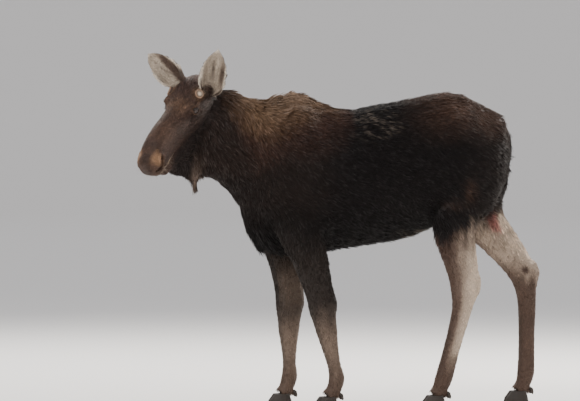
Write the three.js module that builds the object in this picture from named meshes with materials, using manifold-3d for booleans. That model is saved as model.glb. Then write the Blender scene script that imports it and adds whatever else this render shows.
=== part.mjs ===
// A bull moose in late winter, when the antlers are shed: a still, life-size model of the animal
// walking, with its head turned to its left.
//
// Millimetres, +Z up. The moose faces -Y and its left side is +X. The origin is on the ground,
// under the middle of the whole animal. The solids reach to the tips of the winter coat.
//
// Every part of flesh is a loft. A loft has a centreline with a few stations on it, and each
// station gives the body's reach from the centreline: up (or forward on a leg), down (or back)
// and to the sides. Muscles, joints and hollows are egg-shaped masses that swell or dent the loft.
// A ring of rays is cast from the centreline, and each ray stops where the flesh ends.

import * as THREE from 'three';
import { mergeVertices } from 'three/addons/utils/BufferGeometryUtils.js';
import Module from 'manifold-3d';

const wasm = await Module();
wasm.setup();

// ---------------------------------------------------------------- driving dimensions

const WITHERS_HEIGHT = 1850;    // top of the shoulder hump, coat included
const CROUP_HEIGHT = 1852;      // highest point over the hips
const GAP = 0.3;                // clearance between neighbouring solids
const CUT = 1.2;                // how far a solid is swollen before it is cut from its neighbour

const HEAD_YAW = 42;            // degrees, turned to the moose's left
const HEAD_PITCH = 49;          // degrees below level
const HEAD_ROLL = 8;            // degrees, left side down
const HEAD_AT = [59, -1070, 1890];   // the head's own origin, below the poll

const EYE_RADIUS = 23;
const EYE_AT = { along: 217, out: 90, up: 17 };
const EAR_LENGTH = 290;
const PEDICLE_RADIUS = 27;
const HOOF = { length: 150, width: 60, height: 86, spread: 30 };

const COLOURS = {
  coat: 0x2b211d, neck: 0x3a2b22, face: 0x4a362c, leg: 0x8b7a6c, ear: 0x9a8b7c,
  bell: 0x6b5a4c, hoof: 0x2a2420, eye: 0x15100d, pedicle: 0xb59a80,
};

// ---------------------------------------------------------------- small mathematics

const radians = THREE.MathUtils.degToRad;
const vector = (a) => new THREE.Vector3(...a);
const lerp = THREE.MathUtils.lerp;

/** A smooth curve through a list of numbers or vectors, read at t from 0 to list.length - 1. */
function spline(list, t) {
  const last = list.length - 1;
  const i = Math.min(Math.floor(t), last - 1);
  const f = t - i;
  const read = (k) => list[THREE.MathUtils.clamp(k, 0, last)];
  const [a, b, c, d] = [read(i - 1), read(i), read(i + 1), read(i + 2)];
  return b + 0.5 * f * (c - a + f * (2 * a - 5 * b + 4 * c - d + f * (3 * (b - c) + d - a)));
}

/** The smaller of two distances, rounded off over a width k, so that two shapes flow together. */
function blend(a, b, k) {
  const h = Math.max(k - Math.abs(a - b), 0) / k;
  return Math.min(a, b) - (h * h * k) / 4;
}

/** An egg-shaped mass: the distance from a point to its surface, negative inside.
 *  size is its half-lengths, and turn its rotation in degrees. */
function mass(at, size, turn = [0, 0, 0], soft = 60) {
  const centre = vector(at);
  const r = vector(size);
  const back = new THREE.Quaternion()
    .setFromEuler(new THREE.Euler(...turn.map(radians)))
    .invert();
  const q = new THREE.Vector3();
  const distance = (p) => {
    q.copy(p).sub(centre).applyQuaternion(back).divide(r);
    const k0 = q.length();
    const k1 = q.divide(r).length();
    return k1 > 1e-9 ? (k0 * (k0 - 1)) / k1 : -Math.min(...size);
  };
  return { distance, soft };
}

/** The same mass on the right side of the body. */
function mirrored(at, size, turn = [0, 0, 0], soft = 60) {
  return mass([-at[0], at[1], at[2]], size, [turn[0], -turn[1], -turn[2]], soft);
}

const onBothSides = (...m) => [mass(...m), mirrored(...m)];

// ---------------------------------------------------------------- lofts

/** The loft's reach from its centreline at an angle: 0 is sideways, a quarter turn is up. */
function reach(station, angle) {
  const c = Math.abs(Math.cos(angle)) / station.wide;
  const s = Math.abs(Math.sin(angle)) / (Math.sin(angle) > 0 ? station.rise : station.drop);
  const n = Math.sin(angle) > 0 ? station.crown : station.keel;
  return (c ** n + s ** n) ** (-1 / n);
}

/** The distance along one ray to where the flesh ends. */
function castRay(origin, direction, plain, masses, hollows) {
  const p = new THREE.Vector3();
  const outside = (r) => {
    p.copy(origin).addScaledVector(direction, r);
    let f = r - plain;
    for (const m of masses) f = blend(f, m.distance(p), m.soft);
    for (const h of hollows) f = -blend(-f, h.distance(p), h.soft);
    return f;
  };
  const step = Math.max(plain * 0.03, 2);
  let far = plain * 0.4;
  while (outside(far) < 0) far += step;
  let near = far - step;
  for (let i = 0; i < 12; i++) {
    const middle = (near + far) / 2;
    if (outside(middle) < 0) near = middle;
    else far = middle;
  }
  return (near + far) / 2;
}

const STATION_DEFAULTS = { lean: 0, yaw: 0, crown: 2, keel: 2 };

/** The rings of a loft. Each station is { at, rise, drop, wide } with an optional lean, yaw,
 *  crown and keel (how square the upper and lower halves are). across says how a ring stands:
 *  'leaning' planes lean back by the station's lean, and 'along' planes cross the centreline.
 *  A round end reaches dome.length further, in dome.steps more rings and a pole. */
function rings({ stations, perSpan = 1, sides, masses = [], hollows = [], across, dome }) {
  const full = stations.map((s) => ({ ...STATION_DEFAULTS, ...s }));
  const track = (key) => full.map((s) => s[key]);
  const xyz = [0, 1, 2].map((k) => full.map((s) => s.at[k]));
  const place = (t) => vector(xyz.map((list) => spline(list, t)));
  const total = (full.length - 1) * perSpan;
  const made = [];
  const frameAt = (t) => {
    const at = place(t);
    if (across === 'leaning') {
      const lean = radians(spline(track('lean'), t));
      const yaw = radians(spline(track('yaw'), t));
      const side = new THREE.Vector3(Math.cos(yaw), Math.sin(yaw), 0);
      const back = new THREE.Vector3(-Math.sin(yaw), Math.cos(yaw), 0);
      const up = back.clone().multiplyScalar(Math.sin(lean)).add(vector([0, 0, Math.cos(lean)]));
      return { at, side, up, axis: side.clone().cross(up) };
    }
    const span = 0.01;
    const axis = place(Math.min(t + span, full.length - 1))
      .sub(place(Math.max(t - span, 0)))
      .normalize();
    const up = vector([0, -1, 0]).addScaledVector(axis, axis.y).normalize();
    return { at, up, side: up.clone().cross(axis), axis };
  };
  const addRing = (t, tilt = 0) => {
    const frame = frameAt(t);
    const station = {};
    for (const key of ['rise', 'drop', 'wide', 'crown', 'keel']) {
      station[key] = spline(track(key), t);
    }
    const points = [];
    for (let i = 0; i < sides; i++) {
      const angle = (i / sides) * 2 * Math.PI;
      const ray = new THREE.Vector3()
        .addScaledVector(frame.side, Math.cos(angle) * Math.cos(tilt))
        .addScaledVector(frame.up, Math.sin(angle) * Math.cos(tilt))
        .addScaledVector(frame.axis, Math.sin(tilt) * (dome ? dome.way : 0));
      const flat = reach(station, angle);
      const square = dome ? dome.square : 2;
      const plain = tilt
        ? ((Math.cos(tilt) / flat) ** square + (Math.sin(tilt) / dome.length) ** square) **
          (-1 / square)
        : flat;
      const r = castRay(frame.at, ray, plain, masses, hollows);
      points.push(frame.at.clone().addScaledVector(ray, r));
    }
    made.push({ at: frame.at, axis: frame.axis, points });
  };
  for (let i = 0; i <= total; i++) addRing(i / perSpan);
  if (dome) {
    for (let i = 1; i <= dome.steps; i++) {
      addRing(full.length - 1, (i / (dome.steps + 1)) * (Math.PI / 2));
    }
    const last = made[made.length - 1];
    const way = last.axis.clone().multiplyScalar(dome.way);
    const tip = castRay(last.at, way, dome.length, masses, hollows);
    made.push({ pole: last.at.clone().addScaledVector(way, tip) });
  }
  return made;
}

/** Moves a ring a little along the centreline, to leave the gap at a cut. */
function nudged(ring, by) {
  return { ...ring, points: ring.points.map((p) => p.clone().addScaledVector(ring.axis, by)) };
}

/** A closed mesh over a row of rings, with flat ends, or a point where the last ring is a pole.
 *  swell makes it that much larger all round. */
function skinOver(list, swell = 0) {
  const positions = [];
  const index = [];
  const put = (p) => positions.push(p.x, p.y, p.z) / 3 - 1;
  const middleOf = (points) =>
    points.reduce((sum, p) => sum.add(p), new THREE.Vector3()).divideScalar(points.length);
  const swollen = (ring) =>
    ring.points.map((p) => p.clone().add(p.clone().sub(ring.at).setLength(swell)));
  const round = list.filter((r) => !r.pole);
  const hoops = round.map((r) => (swell ? swollen(r) : r.points));
  const beyond = (from, to) => to.clone().sub(from).setLength(swell);
  if (swell) hoops[0].forEach((p) => p.add(beyond(round[1].at, round[0].at)));
  const ids = hoops.map((points) => points.map(put));
  const n = hoops[0].length;
  for (let k = 0; k + 1 < ids.length; k++) {
    for (let i = 0; i < n; i++) {
      const j = (i + 1) % n;
      const [a, b, c, d] = [ids[k][i], ids[k][j], ids[k + 1][j], ids[k + 1][i]];
      index.push(a, b, c, a, c, d);
    }
  }
  const first = put(middleOf(hoops[0]));
  const pole = list[list.length - 1].pole;
  const last = put(pole
    ? pole.clone().add(beyond(round[round.length - 1].at, pole))
    : middleOf(hoops[hoops.length - 1]));
  const end = ids[ids.length - 1];
  for (let i = 0; i < n; i++) {
    const j = (i + 1) % n;
    index.push(first, ids[0][j], ids[0][i], last, end[i], end[j]);
  }
  const geometry = new THREE.BufferGeometry();
  geometry.setAttribute('position', new THREE.Float32BufferAttribute(positions, 3));
  geometry.setIndex(index);
  return facingOut(geometry);
}

/** Turns every triangle round if the mesh encloses a negative volume. */
function facingOut(geometry) {
  const p = geometry.attributes.position;
  const index = geometry.index.array;
  const [a, b, c] = [0, 1, 2].map(() => new THREE.Vector3());
  let volume = 0;
  for (let i = 0; i < index.length; i += 3) {
    a.fromBufferAttribute(p, index[i]);
    b.fromBufferAttribute(p, index[i + 1]);
    c.fromBufferAttribute(p, index[i + 2]);
    volume += a.dot(b.cross(c));
  }
  if (volume < 0) {
    for (let i = 0; i < index.length; i += 3) {
      [index[i + 1], index[i + 2]] = [index[i + 2], index[i + 1]];
    }
  }
  return geometry;
}

// ---------------------------------------------------------------- joining and cutting

function solidOf(geometry, matrix = new THREE.Matrix4()) {
  const plain = new THREE.BufferGeometry();
  plain.setAttribute('position', geometry.getAttribute('position').clone());
  plain.setIndex(geometry.index);
  const merged = mergeVertices(plain.applyMatrix4(matrix), 1e-3);
  return new wasm.Manifold(new wasm.Mesh({
    numProp: 3,
    vertProperties: merged.attributes.position.array,
    triVerts: new Uint32Array(merged.index.array),
  }));
}

function geometryOf(solid) {
  const mesh = solid.getMesh();
  const geometry = new THREE.BufferGeometry();
  geometry.setAttribute('position', new THREE.BufferAttribute(mesh.vertProperties, 3));
  geometry.setIndex(new THREE.BufferAttribute(mesh.triVerts, 1));
  geometry.computeVertexNormals();
  return geometry;
}

/** The largest piece of a solid, without the crumbs that a cut can leave. */
function mainPiece(solid) {
  return solid.decompose().reduce((a, b) => (a.volume() > b.volume() ? a : b));
}

// ---------------------------------------------------------------- the trunk and neck

const SHOULDERS = [
  ...onBothSides([150, -560, 1480], [70, 150, 290], [-14, 0, 0], 90),    // shoulder blade
  ...onBothSides([185, -640, 1215], [62, 105, 130], [12, 0, 0], 80),     // point of the shoulder
  ...onBothSides([200, -455, 1150], [64, 130, 150], [24, 0, 0], 90),     // upper arm
];
const HAUNCHES = [
  mass([150, 470, 1330], [112, 205, 270], [10, 0, 0], 90),
  mass([120, 572, 1430], [92, 112, 190], [-8, 0, 0], 80),                // left buttock
  mass([-150, 520, 1330], [112, 215, 270], [-16, 0, 0], 90),
  mass([-115, 660, 1270], [92, 126, 230], [-6, 0, 0], 80),              // right buttock
  ...onBothSides([165, 400, 1650], [62, 95, 75], [0, 0, 0], 90),         // point of the hip
];
const TRUNK_HOLLOWS = [
  ...onBothSides([392, 255, 1560], [105, 120, 170], [0, 0, 0], 90),      // flank
  mass([0, 790, 1290], [26, 80, 200], [0, 0, 0], 40),                    // below the tail
];

const NECK_BASE = { at: [0, -722, 1500], lean: 20, rise: 352, drop: 345, wide: 178,
  crown: 1.6, keel: 1.9 };

const TRUNK_STATIONS = [
  { at: [0, 640, 1460], rise: 302, drop: 240, wide: 178, crown: 2.2 },
  { at: [0, 560, 1450], rise: 352, drop: 280, wide: 210, crown: 2.2 },
  { at: [0, 480, 1440], rise: CROUP_HEIGHT - 1452, drop: 300, wide: 232, crown: 2.1 },
  { at: [0, 390, 1420], rise: CROUP_HEIGHT - 1420, drop: 330, wide: 255, crown: 2 },
  { at: [0, 290, 1385], rise: 454, drop: 347, wide: 276, crown: 1.9 },
  { at: [0, 180, 1355], rise: 461, drop: 362, wide: 296, crown: 1.85 },
  { at: [0, 60, 1340], rise: 452, drop: 375, wide: 308, crown: 1.85 },
  { at: [0, -60, 1335], rise: 436, drop: 387, wide: 308, crown: 1.85 },
  { at: [0, -170, 1335], rise: 414, drop: 403, wide: 300, crown: 1.8 },
  { at: [0, -270, 1340], rise: 420, drop: 425, wide: 284, crown: 1.7 },
  { at: [0, -380, 1350], rise: 451, drop: 455, wide: 262, crown: 1.5 },
  { at: [0, -480, 1360], lean: 2, rise: 482, drop: 476, wide: 240, crown: 1.4 },
  { at: [0, -570, 1375], lean: 6, rise: WITHERS_HEIGHT - 1378, drop: 484, wide: 222, crown: 1.4 },
  { at: [0, -640, 1400], lean: 11, rise: 452, drop: 482, wide: 205, crown: 1.45 },
  { at: [0, -690, 1440], lean: 15.5, rise: 405, drop: 412, wide: 190, crown: 1.5 },
  NECK_BASE,
];

function trunkRings() {
  const facingBack = [...TRUNK_STATIONS].reverse();
  return rings({
    stations: facingBack, perSpan: 1, sides: 28, across: 'leaning',
    masses: [...SHOULDERS, ...HAUNCHES], hollows: TRUNK_HOLLOWS,
    dome: { length: 130, steps: 4, way: -1, square: 2.6 },
  });
}

function neckRings() {
  return rings({
    stations: [
      NECK_BASE,
      { at: [8, -800, 1535], lean: 22, yaw: 6, rise: 296, drop: 292, wide: 160, crown: 1.7 },
      { at: [24, -885, 1572], lean: 22, yaw: 14, rise: 272, drop: 266, wide: 146, crown: 1.8 },
      { at: [42, -965, 1610], lean: 20, yaw: 24, rise: 268, drop: 274, wide: 134, crown: 1.9 },
      { at: [58, -1035, 1640], lean: 18, yaw: 32, rise: 248, drop: 292, wide: 118, crown: 2 },
    ],
    perSpan: 1, sides: 28, across: 'leaning', masses: SHOULDERS,
    dome: { length: 70, steps: 2, way: 1, square: 2 },
  });
}

// ---------------------------------------------------------------- the head

const head = new THREE.Group();
head.position.set(...HEAD_AT);
head.rotation.set(radians(HEAD_PITCH), radians(HEAD_ROLL), radians(HEAD_YAW), 'ZXY');
head.updateMatrixWorld(true);

/** A point in the head's own frame: along is from poll to nose, out to the left, up to the brow. */
const inHead = (along, out, up) => [out, -along, up];

const SKULL_MASSES = [
  ...onBothSides(inHead(208, 93, 50), [26, 42, 28], [0, 0, 0], 24),      // brow over the eye
  ...onBothSides(inHead(140, 68, 46), [30, 42, 36], [0, 0, 0], 40),      // boss of the pedicle
  ...onBothSides(inHead(150, 60, -82), [38, 105, 66], [-8, 0, 0], 40),   // cheek
  ...onBothSides(inHead(20, 84, -22), [38, 46, 44], [0, 0, 0], 40),      // root of the ear
  ...onBothSides(inHead(622, 42, 6), [34, 50, 48], [20, 0, 0], 30),      // wing of the nostril
];
const SKULL_HOLLOWS = [
  ...onBothSides(inHead(282, 118, 8), [34, 50, 32], [0, 0, 0], 30),      // in front of the eye
  ...onBothSides(inHead(632, 96, -18), [28, 14, 26], [-30, 0, 0], 12),   // nostril
];

function skullRings() {
  const station = (along, top, bottom, wide, crown, keel) => {
    const middle = lerp(bottom, top, 0.5);
    return { at: inHead(along, 0, middle), rise: top - middle, drop: middle - bottom,
      wide, crown, keel };
  };
  return rings({
    stations: [
      station(-44, 18, -120, 66, 2.2, 2),
      station(0, 50, -146, 98, 2.4, 2),
      station(60, 78, -158, 102, 2.6, 2),
      station(130, 92, -160, 100, 2.6, 2),
      station(216, 94, -148, 93, 2.6, 2.1),
      station(285, 97, -132, 83, 2.4, 2.2),
      station(356, 110, -112, 77, 2.2, 2.3),
      station(420, 125, -92, 74, 2.2, 2.4),
      station(475, 131, -78, 74, 2.2, 2.4),
      station(530, 128, -72, 76, 2.3, 2.4),
      station(580, 115, -68, 79, 2.4, 2.4),
      station(622, 94, -62, 78, 2.5, 2.4),
    ],
    perSpan: 2, sides: 24, across: 'leaning', masses: SKULL_MASSES, hollows: SKULL_HOLLOWS,
    dome: { length: 70, steps: 4, way: 1, square: 2.5 },
  });
}

function jawRings() {
  const station = (along, middle, half, wide) => ({
    at: inHead(along, 0, middle), rise: half, drop: half, wide, crown: 2, keel: 2.2 });
  return rings({
    stations: [
      station(110, -115, 55, 62),
      station(190, -122, 62, 60),
      station(290, -142, 86, 54),
      station(390, -138, 84, 48),
      station(480, -110, 58, 44),
      station(545, -98, 44, 43),
      station(576, -95, 40, 41),
    ],
    perSpan: 1, sides: 14, across: 'leaning',
    dome: { length: 34, steps: 3, way: 1, square: 2.3 },
  });
}

/** A leaf rolled into a cup: sections are crescents, wide open at the tip and closed at the root.
 *  full is how far its edges stand out, and a low taper puts its widest part near the root. */
function earGeometry({ full, taper }) {
  const ROWS = 8;
  const ACROSS = 7;
  const THICK = 12;
  const positions = [];
  const index = [];
  for (let k = 0; k <= ROWS; k++) {
    const s = Math.sin((k / ROWS) * (Math.PI / 2));
    const half = 24 + full * Math.sin(Math.PI * Math.min(s * 0.98 + 0.02, 1) ** taper) ** 0.72
      - 14 * s ** 3;
    const wrap = radians(lerp(152, 62, Math.min(s * 1.6, 1)));
    const width = s > 0.8 ? half * Math.sqrt(1 - ((s - 0.8) / 0.205) ** 2) : half;
    const radius = width / Math.sin(Math.min(wrap, Math.PI / 2));
    const thick = Math.min(THICK, width * 0.5) * (s < 0.2 ? 1.5 - 2.5 * s : 1);
    const lift = s * EAR_LENGTH;
    const lean = 26 * s ** 2;
    for (let side = 0; side < 2; side++) {
      for (let i = 0; i <= ACROSS; i++) {
        const angle = (side ? 1 : -1) * lerp(-wrap, wrap, i / ACROSS);
        const edge = Math.sin((i / ACROSS) * Math.PI) ** 0.5;
        const r = side ? radius - thick * (0.55 + 0.45 * edge) : radius;
        positions.push(r * Math.sin(angle), r * Math.cos(angle) - radius + lean, lift);
      }
    }
  }
  const ring = 2 * (ACROSS + 1);
  for (let k = 0; k < ROWS; k++) {
    for (let i = 0; i < ring; i++) {
      const j = (i + 1) % ring;
      const [a, b, c, d] = [k * ring + i, k * ring + j, (k + 1) * ring + j, (k + 1) * ring + i];
      index.push(a, b, c, a, c, d);
    }
  }
  for (const [row, flip] of [[0, false], [ROWS, true]]) {
    for (let i = 0; i < ACROSS; i++) {
      const [a, b] = [row * ring + i, row * ring + i + 1];
      const [c, d] = [row * ring + ring - 2 - i, row * ring + ring - 1 - i];
      if (flip) index.push(a, b, c, a, c, d);
      else index.push(a, c, b, a, d, c);
    }
  }
  const geometry = new THREE.BufferGeometry();
  geometry.setAttribute('position', new THREE.Float32BufferAttribute(positions, 3));
  geometry.setIndex(index);
  return facingOut(geometry);
}

/** Places the ear's root at a point of the head, its length along one way and its cup facing another. */
function earMatrix(root, along, facing) {
  const z = vector(along).normalize();
  const y = vector(facing).negate().addScaledVector(z, vector(facing).dot(z)).normalize();
  const x = y.clone().cross(z);
  return new THREE.Matrix4().makeBasis(x, y, z).setPosition(...root);
}

const EARS = {
  left: {
    shape: { full: 56, taper: 1 },
    matrix: earMatrix(inHead(34, 92, -24), inHead(-0.3, 0.38, 0.87), inHead(0.6, 0.49, 0.63)),
  },
  right: {
    shape: { full: 52, taper: 0.62 },
    matrix: earMatrix(inHead(26, -98, 0), inHead(-0.31, -0.81, 0.5), inHead(0.56, 0.5, 0.66)),
  },
};

/** A shallow domed disc with a rim, on a short stalk that goes into the skull. */
function pedicleGeometry(swell = 0) {
  const R = PEDICLE_RADIUS + swell;
  const profile = [[0, -30], [R * 0.9, -30], [R, 0], [R * 0.98, 8 + swell],
    [R * 0.8, 13 + swell], [R * 0.45, 11 + swell], [0, 13 + swell]];
  return new THREE.LatheGeometry(profile.map((p) => new THREE.Vector2(...p)), 14);
}

const PEDICLE_WAYS = { left: inHead(0.1, 0.74, 0.6), right: inHead(0.1, -0.74, 0.6) };

function pedicleMatrix(side) {
  const out = side === 'left' ? 98 : -98;
  const turn = new THREE.Quaternion()
    .setFromUnitVectors(vector([0, 1, 0]), vector(PEDICLE_WAYS[side]).normalize());
  return new THREE.Matrix4().makeRotationFromQuaternion(turn)
    .setPosition(...inHead(138, out, 65));
}

// ---------------------------------------------------------------- the legs

/** Girths down a foreleg: the spine point it belongs to, how far on towards the next one,
 *  and the reach forward, back and sideways. */
const FORE_GIRTHS = [
  ['shoulder', 0, 150, 150, 72],
  ['shoulder', 0.5, 150, 140, 78],
  ['elbow', 0, 122, 120, 74],
  ['elbow', 0.35, 104, 110, 66],
  ['elbow', 0.7, 92, 98, 59],
  ['knee', 0, 80, 87, 57],
  ['knee', 0.16, 78, 73, 51],
  ['knee', 0.36, 71, 61, 44],
  ['knee', 0.56, 56, 49, 38],
  ['knee', 0.8, 41, 43, 36],
  ['fetlock', 0, 47, 55, 43],
  ['fetlock', 0.5, 44, 48, 44],
  ['coronet', 0, 54, 46, 54],
];
const HIND_GIRTHS = [
  ['hip', 0, 170, 180, 96],
  ['hip', 0.5, 150, 165, 100],
  ['stifle', 0, 140, 134, 90],
  ['stifle', 0.3, 124, 114, 76],
  ['stifle', 0.6, 110, 106, 63],
  ['stifle', 0.84, 95, 95, 54],
  ['hock', 0, 80, 84, 52],
  ['hock', 0.14, 64, 72, 47],
  ['hock', 0.34, 52, 64, 42],
  ['hock', 0.68, 47, 58, 38],
  ['fetlock', 0, 50, 62, 45],
  ['fetlock', 0.5, 46, 50, 46],
  ['coronet', 0, 56, 48, 56],
];

/** Each leg's section centres at its named joints, from the body down. */
const LEGS = {
  foreleg_left: { girths: FORE_GIRTHS, joints: {
    shoulder: [178, -560, 1220], elbow: [186, -462, 925], knee: [170, -372, 610],
    fetlock: [152, -288, 190], coronet: [150, -326, 88] } },
  foreleg_right: { girths: FORE_GIRTHS, joints: {
    shoulder: [-178, -590, 1220], elbow: [-184, -532, 915], knee: [-168, -503, 606],
    fetlock: [-152, -510, 190], coronet: [-150, -542, 88] } },
  hindleg_left: { girths: HIND_GIRTHS, joints: {
    hip: [150, 470, 1390], stifle: [162, 408, 1060], hock: [150, 470, 690],
    fetlock: [146, 342, 190], coronet: [146, 306, 88] } },
  hindleg_right: { girths: HIND_GIRTHS, joints: {
    hip: [-148, 560, 1400], stifle: [-158, 652, 1100], hock: [-150, 896, 760],
    fetlock: [-146, 900, 200], coronet: [-146, 868, 88] } },
};

/** Masses that a plain loft misses, set out from the joints. */
function legMasses(name, joints) {
  if (name.startsWith('fore')) {
    const [x, y, z] = joints.knee;
    return [
      mass([x, y + 62, z + 24], [34, 26, 40], [0, 0, 0], 40),            // bone behind the knee
      mass([x, y - 40, z + 4], [44, 32, 56], [0, 0, 0], 50),             // front of the knee
    ];
  }
  const [x, y, z] = joints.hock;
  return [
    mass([x, y + 74, z + 34], [27, 26, 48], [-12, 0, 0], 50),            // point of the hock
    mass([x, y - 30, z + 6], [48, 48, 60], [0, 0, 0], 50),
  ];
}

/** The spine points of a leg are its joints in order, and a girth lies between two of them. */
function legRings(name) {
  const { girths, joints } = LEGS[name];
  const names = Object.keys(joints);
  const stations = girths.map(([joint, part, rise, drop, wide]) => {
    const k = names.indexOf(joint);
    const t = k + part;
    const at = [0, 1, 2].map((axis) => {
      const list = names.map((n) => joints[n][axis]);
      return lerp(spline(list, t), lerp(list[k], list[Math.min(k + 1, names.length - 1)], part), 0.5);
    });
    return { at, rise, drop, wide };
  });
  const made = rings({ stations, perSpan: 2, sides: 12, across: 'along',
    masses: legMasses(name, joints) });
  const ringOf = (joint) => 2 * girths.findIndex(([j]) => j === joint);
  return { made, middle: ringOf(names[2]), fetlock: ringOf('fetlock') };
}

/** One toe: three outlines stacked from the flat sole to the coronet, drawn out to a point. */
function toeGeometry(side) {
  const COUNT = 12;
  const levels = [
    { z: 0, long: 1, wide: 1, back: 0 },
    { z: 0.55, long: 0.86, wide: 0.98, back: 0.06 },
    { z: 1, long: 0.58, wide: 0.8, back: 0.2 },
  ];
  const list = levels.map(({ z, long, wide, back }) => {
    const points = [];
    for (let i = 0; i < COUNT; i++) {
      const angle = (i / COUNT) * 2 * Math.PI;
      const forward = -Math.cos(angle);
      const taper = forward < 0 ? 1 - 0.5 * forward ** 2 : 1;
      const outward = Math.sign(Math.sin(angle)) * Math.abs(Math.sin(angle)) ** 0.75 * taper;
      const inset = Math.sign(outward) === side ? 1 : 0.78;
      points.push(new THREE.Vector3(
        outward * inset * (HOOF.width / 2) * wide,
        forward * (HOOF.length / 2) * long + back * HOOF.length * 0.42,
        z * HOOF.height,
      ));
    }
    return { at: new THREE.Vector3(0, 0, z * HOOF.height), points };
  });
  return skinOver(list);
}

function dewclawGeometry() {
  const profile = [[0, 0], [10, 12], [13, 36], [0, 52]];
  return new THREE.LatheGeometry(profile.map((p) => new THREE.Vector2(...p)), 6);
}

// ---------------------------------------------------------------- putting it together

const moose = new THREE.Group();

function addPart(parent, name, geometry, colour, roughness = 0.9) {
  const material = new THREE.MeshStandardMaterial({
    color: COLOURS[colour], roughness, metalness: 0, flatShading: true,
  });
  const mesh = new THREE.Mesh(geometry, material);
  mesh.name = name;
  parent.add(mesh);
  return mesh;
}

const trunk = trunkRings();
const neck = neckRings();
const skull = skullRings();
const trunkSolid = solidOf(skinOver([nudged(trunk[0], GAP / 2), ...trunk.slice(1)]));
const trunkSwollen = solidOf(skinOver(trunk, CUT));
const skullSwollen = solidOf(skinOver(skull, CUT));
const skullSwollenInBody = solidOf(skinOver(skull, CUT), head.matrixWorld);
const jaw = jawRings();
const jawSwollenInBody = solidOf(skinOver(jaw, CUT), head.matrixWorld);

addPart(moose, 'trunk', geometryOf(trunkSolid), 'coat');

const neckSolid = solidOf(skinOver([nudged(neck[0], GAP / 2), ...neck.slice(1)]));
const neckCut = mainPiece(neckSolid.subtract(skullSwollenInBody).subtract(jawSwollenInBody));
addPart(moose, 'neck', geometryOf(neckCut), 'neck');

// The head is cut for the eyes, and everything else on it is cut back from the head.
const eyeball = new THREE.SphereGeometry(EYE_RADIUS, 12, 8);
const socket = new THREE.SphereGeometry(EYE_RADIUS + CUT, 12, 8);
let skullSolid = solidOf(skinOver(skull));
const eyePlaces = { left: 1, right: -1 };
for (const [side, sign] of Object.entries(eyePlaces)) {
  const place = inHead(EYE_AT.along, sign * EYE_AT.out, EYE_AT.up);
  skullSolid = skullSolid.subtract(
    solidOf(socket, new THREE.Matrix4().setPosition(...place)));
  const eye = addPart(head, 'eye_' + side, eyeball, 'eye', 0.1);
  eye.position.set(...place);
}
addPart(head, 'head', geometryOf(mainPiece(skullSolid)), 'face');
const jawSolid = solidOf(skinOver(jaw)).subtract(skullSwollen);
addPart(head, 'lower_jaw', geometryOf(mainPiece(jawSolid)), 'face');

const neckSwollen = solidOf(skinOver(neck, CUT));
const toHead = head.matrixWorld.clone().invert();
const neckSwollenInHead = solidOf(skinOver(neck, CUT), toHead);
for (const side of ['left', 'right']) {
  const pedicle = mainPiece(solidOf(pedicleGeometry(), pedicleMatrix(side)).subtract(skullSwollen));
  addPart(head, 'pedicle_' + side, geometryOf(pedicle), 'pedicle', 0.8);
  const ear = solidOf(earGeometry(EARS[side].shape), EARS[side].matrix)
    .subtract(solidOf(pedicleGeometry(CUT), pedicleMatrix(side)))
    .subtract(skullSwollen)
    .subtract(neckSwollenInHead);
  addPart(head, 'ear_' + side, geometryOf(mainPiece(ear)), 'ear');
}
moose.add(head);

// The bell: a flap of skin and long hair along the underside of the jaw, longest at the throat.
const bell = rings({
  stations: [
    { at: [50, -1066, 1440], yaw: 38, rise: 90, drop: 90, wide: 26 },
    { at: [63, -1095, 1400], yaw: 38, rise: 60, drop: 128, wide: 28 },
    { at: [77, -1112, 1400], yaw: 38, rise: 60, drop: 106, wide: 31 },
    { at: [87, -1126, 1430], yaw: 38, rise: 90, drop: 92, wide: 33 },
    { at: [125, -1185, 1430], yaw: 42, rise: 70, drop: 80, wide: 33 },
    { at: [195, -1257, 1410], yaw: 42, rise: 30, drop: 46, wide: 27 },
    { at: [230, -1291, 1404], yaw: 42, rise: 14, drop: 14, wide: 18 },
  ],
  perSpan: 1, sides: 12, across: 'leaning',
});
const bellSolid = solidOf(skinOver(bell))
  .subtract(neckSwollen)
  .subtract(skullSwollenInBody)
  .subtract(jawSwollenInBody);
addPart(moose, 'bell', geometryOf(mainPiece(bellSolid)), 'bell');

// The tail hangs flat against the rump.
const tail = rings({
  stations: [
    { at: [0, 716, 1660], rise: 22, drop: 22, wide: 36 },
    { at: [0, 748, 1610], rise: 24, drop: 22, wide: 38 },
    { at: [0, 762, 1545], rise: 22, drop: 20, wide: 36 },
    { at: [0, 762, 1475], rise: 18, drop: 16, wide: 28 },
  ],
  perSpan: 1, sides: 10, across: 'along',
  dome: { length: 30, steps: 2, way: 1, square: 1.8 },
});
addPart(moose, 'tail', geometryOf(mainPiece(solidOf(skinOver(tail)).subtract(trunkSwollen))),
  'coat');

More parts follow.
